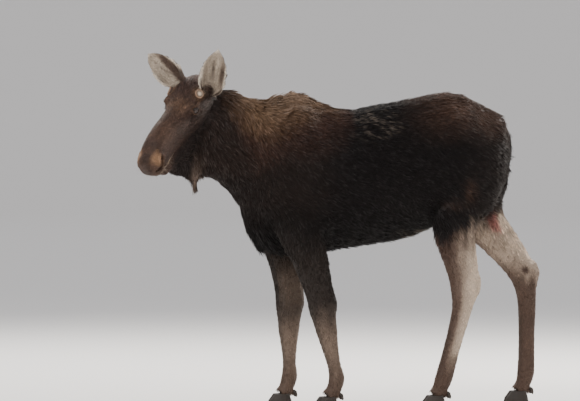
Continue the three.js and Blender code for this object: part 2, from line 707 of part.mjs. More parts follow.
for (const name of Object.keys(LEGS)) {
  const { made, middle, fetlock } = legRings(name);
  const upper = solidOf(skinOver([...made.slice(0, middle), nudged(made[middle], -GAP / 2)]))
    .subtract(trunkSwollen);
  addPart(moose, name + '_upper', geometryOf(mainPiece(upper)), 'coat');
  addPart(moose, name + '_lower', skinOver([nudged(made[middle], GAP / 2),
    ...made.slice(middle + 1, fetlock), nudged(made[fetlock], -GAP / 2)]), 'leg');

  const { coronet } = LEGS[name].joints;
  const toes = new THREE.Group();
  toes.position.set(coronet[0], coronet[1] - 26, 0);
  moose.add(toes);
  toes.updateMatrixWorld(true);
  let foot = solidOf(skinOver([nudged(made[fetlock], GAP / 2), ...made.slice(fetlock + 1)]));
  for (const [toe, side] of [['inner', -1], ['outer', 1]]) {
    const across = side * Math.sign(coronet[0]);
    const geometry = toeGeometry(across);
    const place = new THREE.Matrix4()
      .makeRotationZ(radians(-7 * across))
      .setPosition(across * HOOF.spread, 0, 0);
    const swell = new THREE.Matrix4().makeScale(1.03, 1.015, 1.012);
    foot = foot.subtract(solidOf(geometry, toes.matrixWorld.clone().multiply(place).multiply(swell)));
    const hoof = addPart(toes, `${name}_hoof_${toe}`, geometry, 'hoof', 0.5);
    hoof.applyMatrix4(place);

    const claw = dewclawGeometry();
    const clawPlace = new THREE.Matrix4()
      .makeRotationX(radians(90 + 20))
      .setPosition(coronet[0] + across * 27, coronet[1] + 74, 64);
    const clawSolid = solidOf(claw, clawPlace).subtract(solidOf(skinOver(made, CUT)));
    addPart(moose, `${name}_dewclaw_${toe}`, geometryOf(mainPiece(clawSolid)), 'hoof', 0.5);
  }
  addPart(moose, name + '_foot', geometryOf(mainPiece(foot)), 'leg');
}

// The origin goes under the middle of the animal.
const box = new THREE.Box3().setFromObject(moose, true);
const middle = box.getCenter(new THREE.Vector3());
moose.position.set(-middle.x, -middle.y, -box.min.z);

export default moose;
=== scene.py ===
# %% [markdown]
# # A bull moose in late winter
# The solids of the frame give the animal's outline, out to the tips of its coat. Here one skin
# takes the place of all its flesh, tufts of hair stand on the skin, and the eyes, hooves and
# antler scars are made as pieces of their own.

# %% The frame and its size
import math
import bpy
import bmesh
import numpy as np
from mathutils import Matrix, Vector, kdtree
from mathutils.bvhtree import BVHTree


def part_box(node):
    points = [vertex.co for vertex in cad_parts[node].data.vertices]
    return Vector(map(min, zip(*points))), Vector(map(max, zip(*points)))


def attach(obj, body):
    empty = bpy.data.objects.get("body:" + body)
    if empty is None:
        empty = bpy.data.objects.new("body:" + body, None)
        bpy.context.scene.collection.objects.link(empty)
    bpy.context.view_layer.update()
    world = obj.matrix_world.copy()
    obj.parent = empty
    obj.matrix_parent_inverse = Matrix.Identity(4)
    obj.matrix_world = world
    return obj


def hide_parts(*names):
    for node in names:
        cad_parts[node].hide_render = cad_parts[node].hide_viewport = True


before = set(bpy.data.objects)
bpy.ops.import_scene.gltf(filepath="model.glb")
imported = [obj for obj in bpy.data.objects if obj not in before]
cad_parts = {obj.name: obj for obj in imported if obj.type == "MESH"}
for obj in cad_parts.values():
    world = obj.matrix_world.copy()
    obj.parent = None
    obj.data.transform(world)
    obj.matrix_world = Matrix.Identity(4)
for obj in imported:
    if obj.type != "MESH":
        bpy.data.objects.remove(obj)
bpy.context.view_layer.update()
print("the frame has", len(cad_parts), "nodes")

# %% [markdown]
# ## Where things are
# The animal faces -Y, its left side is +X, and its own middle plane is a little off the frame's
# origin, because the head is turned to one side. Lengths are metres.

# %% Landmarks from the frame
LEFT, RIGHT = 1, -1


def corners(name):
    """The lowest and highest corner of a node, as arrays."""
    low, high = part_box(name)
    return np.array(low), np.array(high)


def middle(name):
    low, high = corners(name)
    return (low + high) / 2


trunk_low, trunk_high = corners("trunk")
MIDLINE = middle("trunk")[0]          # x of the body's middle plane
CHEST = trunk_low[1]                  # y of the front of the chest
RUMP = trunk_high[1]                  # y of the rearmost point of the rump
BACK = trunk_high[2]                  # z of the top of the back
BODY_LENGTH = RUMP - CHEST
WITHERS = CHEST + 0.29                # y of the top of the shoulder hump
print(f"body {BODY_LENGTH:.2f} m long, {BACK:.2f} m high, middle plane at x = {MIDLINE:.3f}")

# %% The head's own frame
HEAD_YAW, HEAD_PITCH, HEAD_ROLL = (math.radians(a) for a in (42, 49, 8))
EYE_ALONG, EYE_UP = 0.217, 0.017      # where the eyes' midpoint lies in the head's frame


def head_axes():
    """Rows are the head's left, its nose-to-poll direction, and its up."""
    turn = (Matrix.Rotation(HEAD_YAW, 3, "Z") @ Matrix.Rotation(HEAD_PITCH, 3, "X")
            @ Matrix.Rotation(HEAD_ROLL, 3, "Y"))
    return np.array(turn.transposed())


HEAD_AXES = head_axes()
eye_middle = (middle("eye_left") + middle("eye_right")) / 2
HEAD_ORIGIN = eye_middle - np.array([0, -EYE_ALONG, EYE_UP]) @ HEAD_AXES


def in_head(points):
    """Columns out to the left, along from the poll to the nose, and up, for points of the body."""
    q = (points - HEAD_ORIGIN) @ HEAD_AXES.T
    return q * np.array([1, -1, 1])


def from_head(q):
    """The reverse of in_head."""
    return (np.asarray(q) * np.array([1, -1, 1])) @ HEAD_AXES + HEAD_ORIGIN


print("head's origin at", HEAD_ORIGIN.round(3))

# %% [markdown]
# ## Helpers for smooth shapes
# Masks are numbers from 0 to 1, used for lengths, lie and colour alike. They could be painted by
# hand as vertex weights. Worked out from a point's place, they stay right when the mesh changes.

# %% Masks and noise
rng = np.random.default_rng(7)


def step(x, low, high):
    """0 below low, 1 above high, and a smooth rise between them."""
    t = np.clip((x - low) / (high - low), 0, 1)
    return t * t * (3 - 2 * t)


def fall(x, low, high):
    """1 below low, 0 above high, and a smooth fall between them."""
    return 1 - step(x, low, high)


def bump(x, centre, half):
    """1 at the centre, falling smoothly to 0 at a distance of half."""
    return fall(np.abs(x - centre), 0, half)


def mix(a, b, t):
    """Blends two values or rows of values by a mask."""
    t = np.asarray(t)
    if np.ndim(a) > 1 or np.ndim(b) > 1 or (np.ndim(a) == 1 and np.ndim(t) == 1 and len(a) == 3):
        t = t[:, None]
    return a * (1 - t) + b * t


def norm(v):
    """The length of each row."""
    return np.linalg.norm(v, axis=1)


def unit(v):
    """A row, or rows, scaled to length 1."""
    return v / np.maximum(np.linalg.norm(v, axis=-1, keepdims=True), 1e-9)


def value_noise(points, scale, seed=0):
    """Smooth noise from -1 to 1 that varies over a distance of scale."""
    p = points / scale + seed * 17.31
    cell = np.floor(p).astype(np.int64)
    f = p - cell
    f = f * f * (3 - 2 * f)
    total = np.zeros(len(points))
    for corner in np.ndindex(2, 2, 2):
        c = cell + np.array(corner)
        h = (c[:, 0] * 374761393 + c[:, 1] * 668265263 + c[:, 2] * 2147483647) & 0x7FFFFFFF
        h = ((h ^ (h >> 13)) * 1274126177) & 0x7FFFFFFF
        weight = np.prod(np.where(corner, f, 1 - f), axis=1)
        total += weight * ((h ^ (h >> 16)) & 0xFFFF) / 32767.5
    return total - 1


print("half way up a step:", step(0.5, 0, 1), "and a quarter up:", step(0.25, 0, 1))


# %% Meshes from and to arrays
def coordinates(mesh):
    co = np.empty(len(mesh.vertices) * 3, np.float32)
    mesh.vertices.foreach_get("co", co)
    return co.reshape(-1, 3).astype(float)


def set_coordinates(mesh, co):
    mesh.vertices.foreach_set("co", co.astype(np.float32).ravel())
    mesh.update()


def vertex_normals(mesh):
    no = np.empty(len(mesh.vertices) * 3, np.float32)
    mesh.vertex_normals.foreach_get("vector", no)
    return no.reshape(-1, 3).astype(float)


def smooth_faces(mesh):
    mesh.polygons.foreach_set("use_smooth", np.ones(len(mesh.polygons), bool))


def placed(name, data):
    """A new object of the scene."""
    obj = bpy.data.objects.new(name, data)
    bpy.context.scene.collection.objects.link(obj)
    return obj


def edge_pairs(mesh):
    pairs = np.empty(len(mesh.edges) * 2, np.int32)
    mesh.edges.foreach_get("vertices", pairs)
    return pairs.reshape(-1, 2)


PULL_IN, PUSH_OUT = 0.55, 0.57


class Neighbours:
    """Averages a value over each vertex's neighbours."""

    def __init__(self, mesh):
        self.pairs = edge_pairs(mesh)
        self.count = len(mesh.vertices)
        self.degree = np.maximum(np.bincount(self.pairs.ravel(), minlength=self.count), 1)

    def mean(self, values):
        a, b = self.pairs.T
        columns = values.reshape(self.count, -1)
        total = np.stack([np.bincount(a, c[b], self.count) + np.bincount(b, c[a], self.count)
                          for c in columns.T], axis=1)
        return (total / self.degree[:, None]).reshape(values.shape)

    def smooth(self, values, rounds):
        for _ in range(rounds):
            values = (values + self.mean(values)) / 2
        return values

    def relax(self, co, weight, rounds):
        """Rounds off facets without shrinking the form: each round moves in, then out again."""
        w = weight[:, None]
        for _ in range(rounds):
            co = co + PULL_IN * w * (self.mean(co) - co)
            co = co - PUSH_OUT * w * (self.mean(co) - co)
        return co


# %% [markdown]
# ## The skin
# The flesh is joined twice: the body from coarse cells, so that its facets can be rounded off,
# and the head from fine ones. The two are joined into one closed surface, which is drawn in by
# the depth of the coat and then carved with eyelids, nostrils and the line of the mouth. A
# sculpted cage under a Subdivision Surface would do too, but the voxel remesh follows the
# solids by itself and leaves no seam where a leg or an ear meets the body.

# %% Joining the flesh
LEGS = [f"{end}leg_{side}" for end in ("fore", "hind") for side in ("left", "right")]
BODY_NODES = ["trunk", "neck", "tail", "bell"] + [
    f"{leg}_{part}" for leg in LEGS for part in ("upper", "lower", "foot")]
HEAD_NODES = ["head", "lower_jaw", "ear_left", "ear_right"]
EYE_NODES = ["eye_left", "eye_right"]
FLESH_NODES = BODY_NODES + HEAD_NODES
HOOF_NODES = [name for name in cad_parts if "_hoof_" in name]
CLAW_NODES = [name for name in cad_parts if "_dewclaw_" in name]


def joined_copy(name, swell):
    """Copies of nodes in one object, each swollen, or shrunk, by its own amount."""
    bm = bmesh.new()
    for node, amount in swell.items():
        part = bmesh.new()
        part.from_mesh(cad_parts[node].data)
        bmesh.ops.remove_doubles(part, verts=part.verts, dist=1e-5)
        part.normal_update()
        for v in part.verts:
            v.co += v.normal * amount
        piece = bpy.data.meshes.new("piece")
        part.to_mesh(piece)
        bm.from_mesh(piece)
        part.free()
        bpy.data.meshes.remove(piece)
    mesh = bpy.data.meshes.new(name)
    bm.to_mesh(mesh)
    bm.free()
    return placed(name, mesh)


def finished(obj):
    """Applies an object's modifiers and returns it."""
    depsgraph = bpy.context.evaluated_depsgraph_get()
    mesh = bpy.data.meshes.new_from_object(obj.evaluated_get(depsgraph))
    obj.modifiers.clear()
    old, obj.data = obj.data, mesh
    bpy.data.meshes.remove(old)
    return obj


def remeshed(obj, cell):
    """Rebuilds an object as one closed surface of even cells."""
    modifier = obj.modifiers.new("cells", "REMESH")
    modifier.mode = "VOXEL"
    modifier.voxel_size = cell
    modifier.adaptivity = 0
    return finished(obj)


BODY_CELL, HEAD_CELL, SKIN_CELL = 0.010, 0.004, 0.0052
TOUCH = 0.001                         # makes neighbours meet
EAR_SWELL = 0.0025                    # the ears' thin edges need it to hold together
HEAD_SHRINK, TOE_SHRINK = -0.010, -0.007

in_body = dict.fromkeys(BODY_NODES, TOUCH) | dict.fromkeys(HEAD_NODES[:2], HEAD_SHRINK)
in_body |= dict.fromkeys(HOOF_NODES, TOE_SHRINK) | dict.fromkeys(CLAW_NODES, -TOUCH)
body = remeshed(joined_copy("body", in_body), BODY_CELL)
in_head_form = dict.fromkeys(HEAD_NODES[:2], TOUCH) | dict.fromkeys(HEAD_NODES[2:], EAR_SWELL)
in_head_form |= dict.fromkeys(EYE_NODES, TOUCH)
head = remeshed(joined_copy("head form", in_head_form), HEAD_CELL)
print("body", len(body.data.vertices), "vertices, head", len(head.data.vertices))

# %% Rounding off the facets
BELLY = trunk_low[2]


def round_off(obj, rounds, weight):
    around = Neighbours(obj.data)
    set_coordinates(obj.data, around.relax(coordinates(obj.data), weight, rounds))


body_co = coordinates(body.data)
thick = 0.25 + 0.75 * step(body_co[:, 2], BELLY - 0.10, BELLY + 0.15)
round_off(body, 70, thick)
round_off(head, 24, np.full(len(head.data.vertices), 0.8))
print("facets rounded off, most of all above z =", BELLY.round(2))

# %% One closed surface
with bpy.context.temp_override(active_object=body, selected_editable_objects=[body, head]):
    bpy.ops.object.join()
skin = remeshed(body, SKIN_CELL)
skin.name = skin.data.name = "skin"
around = Neighbours(skin.data)
skin_co = coordinates(skin.data)
head_q = in_head(skin_co)
collar = bump(head_q[:, 1], -0.03, 0.16) * step(-head_q[:, 2], -0.02, 0.04)
skin_co = around.relax(skin_co, 0.5 + 0.5 * collar, 10)
skin_co = around.relax(skin_co, 0.9 * collar, 50)
dock = bump(norm(skin_co - [MIDLINE, RUMP - 0.075, 1.67]), 0, 0.20)
skin_co = around.relax(skin_co, 0.9 * dock, 60)
set_coordinates(skin.data, skin_co)
print("skin", len(skin.data.vertices), "vertices")

# %% Fewer faces where the form is plain
SKIN_FACES = 150_000


def near_head(co):
    """1 over the face and ears, 0 over the body."""
    q = in_head(co)
    face = step(q[:, 1], -0.04, 0.06) * step(q[:, 2], -0.30, -0.22)
    ears = step(q[:, 2], 0.02, 0.06) * step(q[:, 1], -0.35, -0.25)
    return np.maximum(face, ears) * fall(norm(q[:, ::2]), 0.45, 0.55)


def thin_out(obj, wanted, keep):
    """Collapses faces down to a wanted number, and spares those where keep is 1."""
    group = obj.vertex_groups.new(name="plain")
    plain = np.flatnonzero(keep < 0.5)
    group.add(plain.tolist(), 1.0, "REPLACE")
    modifier = obj.modifiers.new("fewer", "DECIMATE")
    modifier.ratio = wanted / (2 * len(obj.data.polygons))
    modifier.vertex_group = "plain"
    modifier.vertex_group_factor = 1000
    finished(obj)
    obj.vertex_groups.clear()


thin_out(skin, SKIN_FACES, near_head(skin_co))
print("skin thinned to", len(skin.data.polygons), "faces")

# %% Which region each point of the skin belongs to
REGIONS = {
    "trunk": ["trunk"], "neck": ["neck"], "face": ["head", "lower_jaw"],
    "ear": ["ear_left", "ear_right"], "tail": ["tail"], "bell": ["bell"],
    "foreleg": ["foreleg_left_upper", "foreleg_right_upper"],
    "hindleg": ["hindleg_left_upper", "hindleg_right_upper"],
    "shin": [f"{leg}_lower" for leg in LEGS], "foot": [f"{leg}_foot" for leg in LEGS],
}
LABEL_SPACING = 0.012                 # between the labelled points on the solids


def triangle_corners(mesh):
    """The corners of each triangle, as indices."""
    mesh.calc_loop_triangles()
    tri = np.empty(len(mesh.loop_triangles) * 3, np.int32)
    mesh.loop_triangles.foreach_get("vertices", tri)
    return tri.reshape(-1, 3)


def triangle_areas(co, tri):
    a, b, c = (co[tri[:, k]] for k in range(3))
    return norm(np.cross(b - a, c - a)) / 2


def scatter(co, tri, count, density):
    """Random places on triangles: the triangle of each, and its shares of the three corners."""
    weight = triangle_areas(co, tri) * density[tri].mean(axis=1)
    total = np.cumsum(weight)
    chosen = np.searchsorted(total, rng.random(count) * total[-1])
    u, v = rng.random((2, count))
    over = u + v > 1
    u, v = np.where(over, 1 - u, u), np.where(over, 1 - v, v)
    return np.minimum(chosen, len(tri) - 1), np.stack([1 - u - v, u, v], axis=1)


def at(values, corner, share):
    """A value of the vertices read at scattered places."""
    picked = values[corner]
    return (picked * (share if picked.ndim == 2 else share[:, :, None])).sum(axis=1)


def region_tree():
    points, labels = [], []
    for label, nodes in enumerate(REGIONS.values()):
        for node in nodes:
            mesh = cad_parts[node].data
            co, tri = coordinates(mesh), triangle_corners(mesh)
            count = int(triangle_areas(co, tri).sum() / LABEL_SPACING ** 2) + 50
            chosen, share = scatter(co, tri, count, np.ones(len(co)))
            points.append(at(co, tri[chosen], share))
            labels += [label] * count
    points = np.concatenate(points)
    tree = kdtree.KDTree(len(points))
    for i, p in enumerate(points):
        tree.insert(p, i)
    tree.balance()
    return tree, np.array(labels)


def region_shares(mesh):
    """How much of each region every vertex has, softened where regions meet."""
    tree, labels = region_tree()
    found = np.array([labels[tree.find(p)[1]] for p in coordinates(mesh)])
    shares = np.eye(len(REGIONS))[found]
    shares = Neighbours(mesh).smooth(shares, 14)
    return {name: shares[:, k] for k, name in enumerate(REGIONS)}


region = region_shares(skin.data)
for name, share in region.items():
    print(f"{name:8s} {share.sum():8.0f} vertices")

# %% Drawing the skin in by the depth of the coat
COAT_DEPTH = {"trunk": 0.019, "neck": 0.024, "face": 0.0045, "ear": EAR_SWELL + 0.001,
              "tail": 0.010, "bell": 0.010, "foreleg": 0.010, "hindleg": 0.009,
              "shin": 0.0045, "foot": 0.005}

skin_co = coordinates(skin.data)
depth = sum(region[name] * COAT_DEPTH[name] for name in REGIONS)
around = Neighbours(skin.data)
outward = unit(around.smooth(vertex_normals(skin.data), 3))
skin_co = around.relax(skin_co - outward * depth[:, None], np.full(len(skin_co), 0.5), 4)
set_coordinates(skin.data, skin_co)
print("skin drawn in by", depth.min().round(4), "to", depth.max().round(4), "m")

# %% [markdown]
# ## The face
# A moose has heavy lids, long nostrils and an overhanging lip. Their folds could be a bump in
# the material, but then they would vanish at the outline. So the skin's own points are moved,
# in the head's own frame: out, along and up.

# %% Places on the face
EYE_RADIUS = 0.0215
EYES = {side: in_head(middle(name)[None])[0]
        for side, name in ((LEFT, "eye_left"), (RIGHT, "eye_right"))}
NOSTRIL = np.array([(0.079, 0.600, 0.050), (0.083, 0.618, 0.035), (0.083, 0.636, 0.018),
                    (0.078, 0.655, 0.010), (0.062, 0.676, 0.010)])
MOUTH = np.array([(0.000, 0.690, -0.040), (0.045, 0.678, -0.034), (0.068, 0.655, -0.030),
                  (0.079, 0.616, -0.030), (0.074, 0.570, -0.040), (0.066, 0.532, -0.055),
                  (0.060, 0.510, -0.064)])
TEAR_LINE = np.array([(0.095, 0.245, 0.012), (0.085, 0.262, 0.000), (0.078, 0.284, -0.014)])
skin_tree = BVHTree.FromPolygons(in_head(skin_co).tolist(), triangle_corners(skin.data).tolist())


def on_skin(line):
    """Puts a line's points on the skin of the left side, four to each span."""
    spans = [np.linspace(a, b, 4, endpoint=False) for a, b in zip(line[:-1], line[1:])]
    return np.array([skin_tree.find_nearest(p)[0] for p in np.concatenate(spans + [line[-1:]])])


def distance_to(line, q):
    """The distance from each point to a line of points."""
    best = np.full(len(q), 9.0)
    for a, b in zip(line[:-1], line[1:]):
        t = np.clip((q - a) @ (b - a) / max((b - a) @ (b - a), 1e-12), 0, 1)[:, None]
        best = np.minimum(best, norm(q - a - t * (b - a)))
    return best


def both_sides(q):
    """The same points with the right half of the head folded onto the left."""
    return np.stack([np.abs(q[:, 0]), q[:, 1], q[:, 2]], axis=1)


NOSTRIL, MOUTH, TEAR_LINE = on_skin(NOSTRIL), on_skin(MOUTH), on_skin(TEAR_LINE)
print("mouth line from", MOUTH[0].round(3), "to", MOUTH[-1].round(3))


# %% Finer faces round the eyes, nostrils and mouth
def refine(obj, near, rounds):
    """Splits the faces whose vertices are near, in place."""
    for _ in range(rounds):
        co = coordinates(obj.data)
        close = near(both_sides(in_head(co)))
        bm = bmesh.new()
        bm.from_mesh(obj.data)
        bm.verts.ensure_lookup_table()
        edges = [e for e in bm.edges if close[e.verts[0].index] and close[e.verts[1].index]]
        bmesh.ops.subdivide_edges(bm, edges=edges, cuts=1, use_grid_fill=True)
        bmesh.ops.triangulate(bm, faces=[f for f in bm.faces if len(f.verts) > 3])
        bm.to_mesh(obj.data)
        bm.free()


def by_the_eye(q):
    return norm(q - EYES[LEFT]) < 0.040


def by_the_openings(q):
    return (distance_to(NOSTRIL, q) < 0.022) | (distance_to(MOUTH, q) < 0.014)


refine(skin, by_the_eye, 2)
refine(skin, by_the_openings, 1)
print("skin refined to", len(skin.data.polygons), "faces")

# %% Eyelids
LID_RADIUS = EYE_RADIUS + 0.0028
LID_HALF_WIDTH, LID_HALF_HEIGHT = 1.02, 0.66          # radians, seen from the eye's centre


def eye_axes(side):
    """The way the eye looks, the way to its front corner, and its up, in the head's frame."""
    look = unit(np.array([side * 0.84, 0.46, 0.28]))
    front = np.array([0, 1, -0.25])
    front = unit(front - look * (front @ look))
    up = np.cross(look, front) * side
    return look, front, up * np.sign(up[2])


def eye_angles(q, side):
    """Distance from the eye's centre, and the angles towards its front corner and up."""
    look, front, up = eye_axes(side)
    d = q - EYES[side]
    ahead = d @ look
    return norm(d), ahead, np.arctan2(d @ front, ahead), np.arctan2(d @ up, ahead)


def eye_opening(a, b):
    """Below 1 between the lids, above 1 on them."""
    almond = np.clip(1 - (a / LID_HALF_WIDTH) ** 2, 1e-4, 1) ** 0.75
    return np.where(np.abs(a) < LID_HALF_WIDTH, np.abs(b) / (LID_HALF_HEIGHT * almond), 9.0)


def carve_eyelids(q):
    for side in EYES:
        r, ahead, a, b = eye_angles(q, side)
        spread = np.hypot(a, b)
        near = (r < 0.045) & (ahead > 0)
        lid = mix(LID_RADIUS + 0.0016 * bump(b, 0.80, 0.35), r, step(spread, 1.05, 1.75))
        inside = fall(eye_opening(a, b), 0.88, 1.04)
        wanted = mix(lid, EYE_RADIUS - 0.008, inside)
        scale = np.where(near, wanted / np.maximum(r, 1e-6), 1.0)
        q = EYES[side] + (q - EYES[side]) * scale[:, None]
    return q


# %% Nostrils, mouth and the groove before the eye
def carve_face(q):
    """Moves points of the head, given and returned in its own frame."""
    folded = both_sides(q)
    sign = np.where(q[:, 0] < 0, -1.0, 1.0)
    inward = np.stack([-sign * 0.85, np.full(len(q), -0.45), np.full(len(q), -0.1)], axis=1)
    nostril = distance_to(NOSTRIL, folded)
    q = q + inward * (0.020 * fall(nostril, 0.001, 0.0095))[:, None]
    flap = bump(nostril, 0.018, 0.012) * step(folded[:, 2], 0.015, 0.045)
    q = q - inward * (0.006 * flap)[:, None]
    mouth = distance_to(MOUTH, folded)
    back = np.stack([-sign * 0.8, np.full(len(q), -0.6), np.full(len(q), 0.0)], axis=1)
    q = q + back * (0.007 * fall(mouth, 0.0, 0.006))[:, None]
    lip = bump(mouth, 0.010, 0.010)
    q = q - back * (0.0025 * lip)[:, None]
    tear = distance_to(TEAR_LINE, folded)
    return q + inward * (0.004 * fall(tear, 0.0, 0.007))[:, None]


def to_head_and_back(obj, change):
    co = coordinates(obj.data)
    near = near_head(co) > 0
    co[near] = from_head(change(in_head(co[near])))
    set_coordinates(obj.data, co)


to_head_and_back(skin, carve_eyelids)
to_head_and_back(skin, carve_face)
smooth_faces(skin.data)
skin_co = coordinates(skin.data)
skin_no = vertex_normals(skin.data)
region = region_shares(skin.data)
print("carved skin of", len(skin_co), "vertices")

# %% [markdown]
# ## Eyes
# A moose has a dark brown eye with a long level pupil. The eyeball is a lathe of rings whose
# front bulges a little as the cornea does. Its colours could be an image. Values kept on its
# own rings need none, and they stay in place from every side.

# %% Eyeballs
def mesh_object(name, vertices, faces):
    mesh = bpy.data.meshes.new(name)
    mesh.from_pydata(np.asarray(vertices).tolist(), [], [list(f) for f in faces])
    smooth_faces(mesh)
    mesh.update()
    return placed(name, mesh)


def add_values(mesh, name, values):
    """Stores a number, or a colour, on every vertex."""
    kind = "FLOAT" if values.ndim == 1 else "FLOAT_COLOR"
    layer = mesh.attributes.new(name, kind, "POINT")
    if values.ndim == 1:
        layer.data.foreach_set("value", values.astype(np.float32))
    else:
        rgba = np.concatenate([values, np.ones((len(values), 1))], axis=1)
        layer.data.foreach_set("color", rgba.astype(np.float32).ravel())


def lathe(radii, heights, around):
    """Rings of points about Z, closed by a pole at each end, and their faces facing out."""
    angle = np.linspace(0, 2 * math.pi, around, endpoint=False)
    rings = [np.stack([r * np.cos(angle), r * np.sin(angle), np.full(around, h)], axis=1)
             for r, h in zip(radii[1:-1], heights[1:-1])]
    points = np.concatenate([[[0, 0, heights[0]]]] + rings + [[[0, 0, heights[-1]]]])
    faces, last = [], len(points) - 1
    for i in range(around):
        j = (i + 1) % around
        faces.append((0, 1 + j, 1 + i))
        for k in range(len(rings) - 1):
            a, b = 1 + k * around, 1 + (k + 1) * around
            faces.append((a + i, a + j, b + j, b + i))
        b = 1 + (len(rings) - 1) * around
        faces.append((b + i, b + j, last))
    return points, faces


IRIS_ANGLE = 0.62                     # radians from the eye's axis to the edge of the iris
PUPIL_HALF_WIDTH, PUPIL_HALF_HEIGHT = 0.34, 0.17          # to the eye's radius
CORNEA = 0.055                        # how far it bulges, to the same radius


def eyeball(side):
    look, front, up = eye_axes(side)
    theta = np.linspace(math.pi, 0, 40)
    bulge = 1 + CORNEA * fall(theta, IRIS_ANGLE * 0.6, IRIS_ANGLE * 1.15)
    radius = EYE_RADIUS * bulge
    points, faces = lathe(radius * np.sin(theta), radius * np.cos(theta), 48)
    q = EYES[side] + points @ np.stack([front, up * side, look])
    obj = mesh_object("eye_of_the_left" if side > 0 else "eye_of_the_right", from_head(q), faces)
    ahead, upward, outward = unit(points).T
    add_values(obj.data, "iris", np.arccos(np.clip(outward, -1, 1)) / IRIS_ANGLE)
    pupil = np.hypot(ahead / PUPIL_HALF_WIDTH, upward / PUPIL_HALF_HEIGHT)
    add_values(obj.data, "pupil", pupil + (outward < 0) * 9)
    return obj


eyes = {side: eyeball(side) for side in EYES}
print("eyeballs of", len(eyes[LEFT].data.vertices), "vertices, radius", EYE_RADIUS)

# %% [markdown]
# ## Pedicles
# When the antlers are shed, each leaves a round scar of raw bone on its stump: pale bone in the
# middle, a paler tan round the rim, and a dark ring between them. That ring is partly dried blood
# and partly painted shade, because it lies in a groove. It is a lathe, because the stump is round,
# and noise makes its rim and its top uneven.

# %% Scars on the pedicles
PEDICLE_RADIUS = 0.0265
PEDICLE_FOOT = np.array([0.098, 0.138, 0.065])


def colour(red, green, blue):
    """A colour given as a painter mixes it, 0 to 255, turned to the linear numbers of light."""
    c = np.array([red, green, blue]) / 255
    return np.where(c < 0.04045, c / 12.92, ((c + 0.055) / 1.055) ** 2.4)


PALE_BONE, OLD_RIM = colour(206, 186, 164), colour(138, 110, 88)
BLOOD_AND_GROOVE_SHADE, STUMP_HAIR = colour(52, 34, 29), colour(62, 46, 38)


def pedicle(side, node):
    way = unit(np.array([side * 0.74, 0.1, 0.6]))
    across = unit(np.cross([0, 1, 0.2], way))
    radii = PEDICLE_RADIUS * np.array([0, .98, 1.0, 1.02, 1.0, .93, .84, .74, .60, .42, .22, 0])
    heights = 0.001 * np.array([-24, -24, -6, 3, 8, 11.6, 12.6, 11.4, 9.6, 9.4, 10.4, 10.8])
    points, faces = lathe(radii, heights, 48)
    rough = value_noise(points + side, 0.007, 3) * 0.9 + value_noise(points, 0.003, 4) * 0.5
    outer = np.hypot(points[:, 0], points[:, 1]) / PEDICLE_RADIUS
    points[:, 2] += 0.0016 * rough * step(points[:, 2], 0.0, 0.006)
    points[:, :2] *= (1 + 0.035 * value_noise(points * [1, 1, 0], 0.014, 5))[:, None]
    q = PEDICLE_FOOT * [side, 1, 1] + points @ np.stack([across, np.cross(way, across), way])
    obj = mesh_object(f"scar_{node}", from_head(q), faces)
    top = step(points[:, 2], 0.004, 0.009)
    # painted shade: the dark ring in the groove between the pale middle and the rim is partly dried
    # blood and partly the shade that falls in the groove
    blood_and_groove_shade = np.clip(bump(outer, 0.58, 0.34) + 0.30 * rough, 0, 1)
    bone = mix(mix(PALE_BONE, OLD_RIM, step(outer, 0.66, 0.80)), BLOOD_AND_GROOVE_SHADE, blood_and_groove_shade * 0.9)
    tone = mix(STUMP_HAIR * np.ones((len(points), 1)), bone, top)
    add_values(obj.data, "markings", tone * (1 + 0.12 * rough[:, None]))
    return obj


pedicles = {node: pedicle(side, node)
            for side, node in ((LEFT, "pedicle_left"), (RIGHT, "pedicle_right"))}
print("scars of", len(pedicles["pedicle_left"].data.vertices), "vertices each")

# %% [markdown]
# ## Hooves and dewclaws
# Horn grows down in rings. Each hoof is a smooth copy of its solid, and its sole stays on the
# floor. The growth rings are pressed into the walls of the mesh, because a bump alone would
# leave the edges straight.

# %% Horn
HORN, WORN_HORN = colour(46, 39, 34), colour(88, 76, 64)
RING_SPACING, RING_DEPTH = 0.0065, 0.00035
SOLE_BAND, SOLE_DROP = 0.0025, 0.0006                     # sets the rounded soles back down


def horn(names, name, cell):
    obj = remeshed(joined_copy(name, dict.fromkeys(names, 0.0)), cell)
    round_off(obj, 14, np.ones(len(obj.data.vertices)))
    co, no = coordinates(obj.data), vertex_normals(obj.data)
    height = co[:, 2] + 0.25 * co[:, 1] + 0.002 * value_noise(co, 0.03, 8)
    wall = step(1 - np.abs(no[:, 2]), 0.3, 0.7)
    ring = np.sin(height / RING_SPACING * 2 * math.pi)
    co = co - no * (RING_DEPTH * ring * wall)[:, None]
    sole = co[:, 2] < SOLE_BAND
    co[sole, 2] = np.maximum(co[sole, 2] - SOLE_DROP, 0.0)
    set_coordinates(obj.data, co)
    worn = fall(co[:, 2], 0.0, 0.03)
    shade = 1 + 0.22 * ring * wall + 0.25 * value_noise(co, 0.02, 9)
    add_values(obj.data, "markings",
               mix(HORN * np.ones((len(co), 1)), WORN_HORN, 0.6 * worn) * shade[:, None])
    smooth_faces(obj.data)
    return obj


hooves = horn(HOOF_NODES, "hooves", 0.0030)
claws = horn(CLAW_NODES, "dewclaws", 0.0024)
print("hooves", len(hooves.data.polygons), "faces, dewclaws", len(claws.data.polygons))

# %% [markdown]
# ## Markings
# The coat is nearly black below, golden over the hump, and pale behind the legs. It could be
# painted on an image. Here skin and hair read their colours from the same function of the place
# on the body, so they always agree. Distances are taken from the landmarks of the frame.

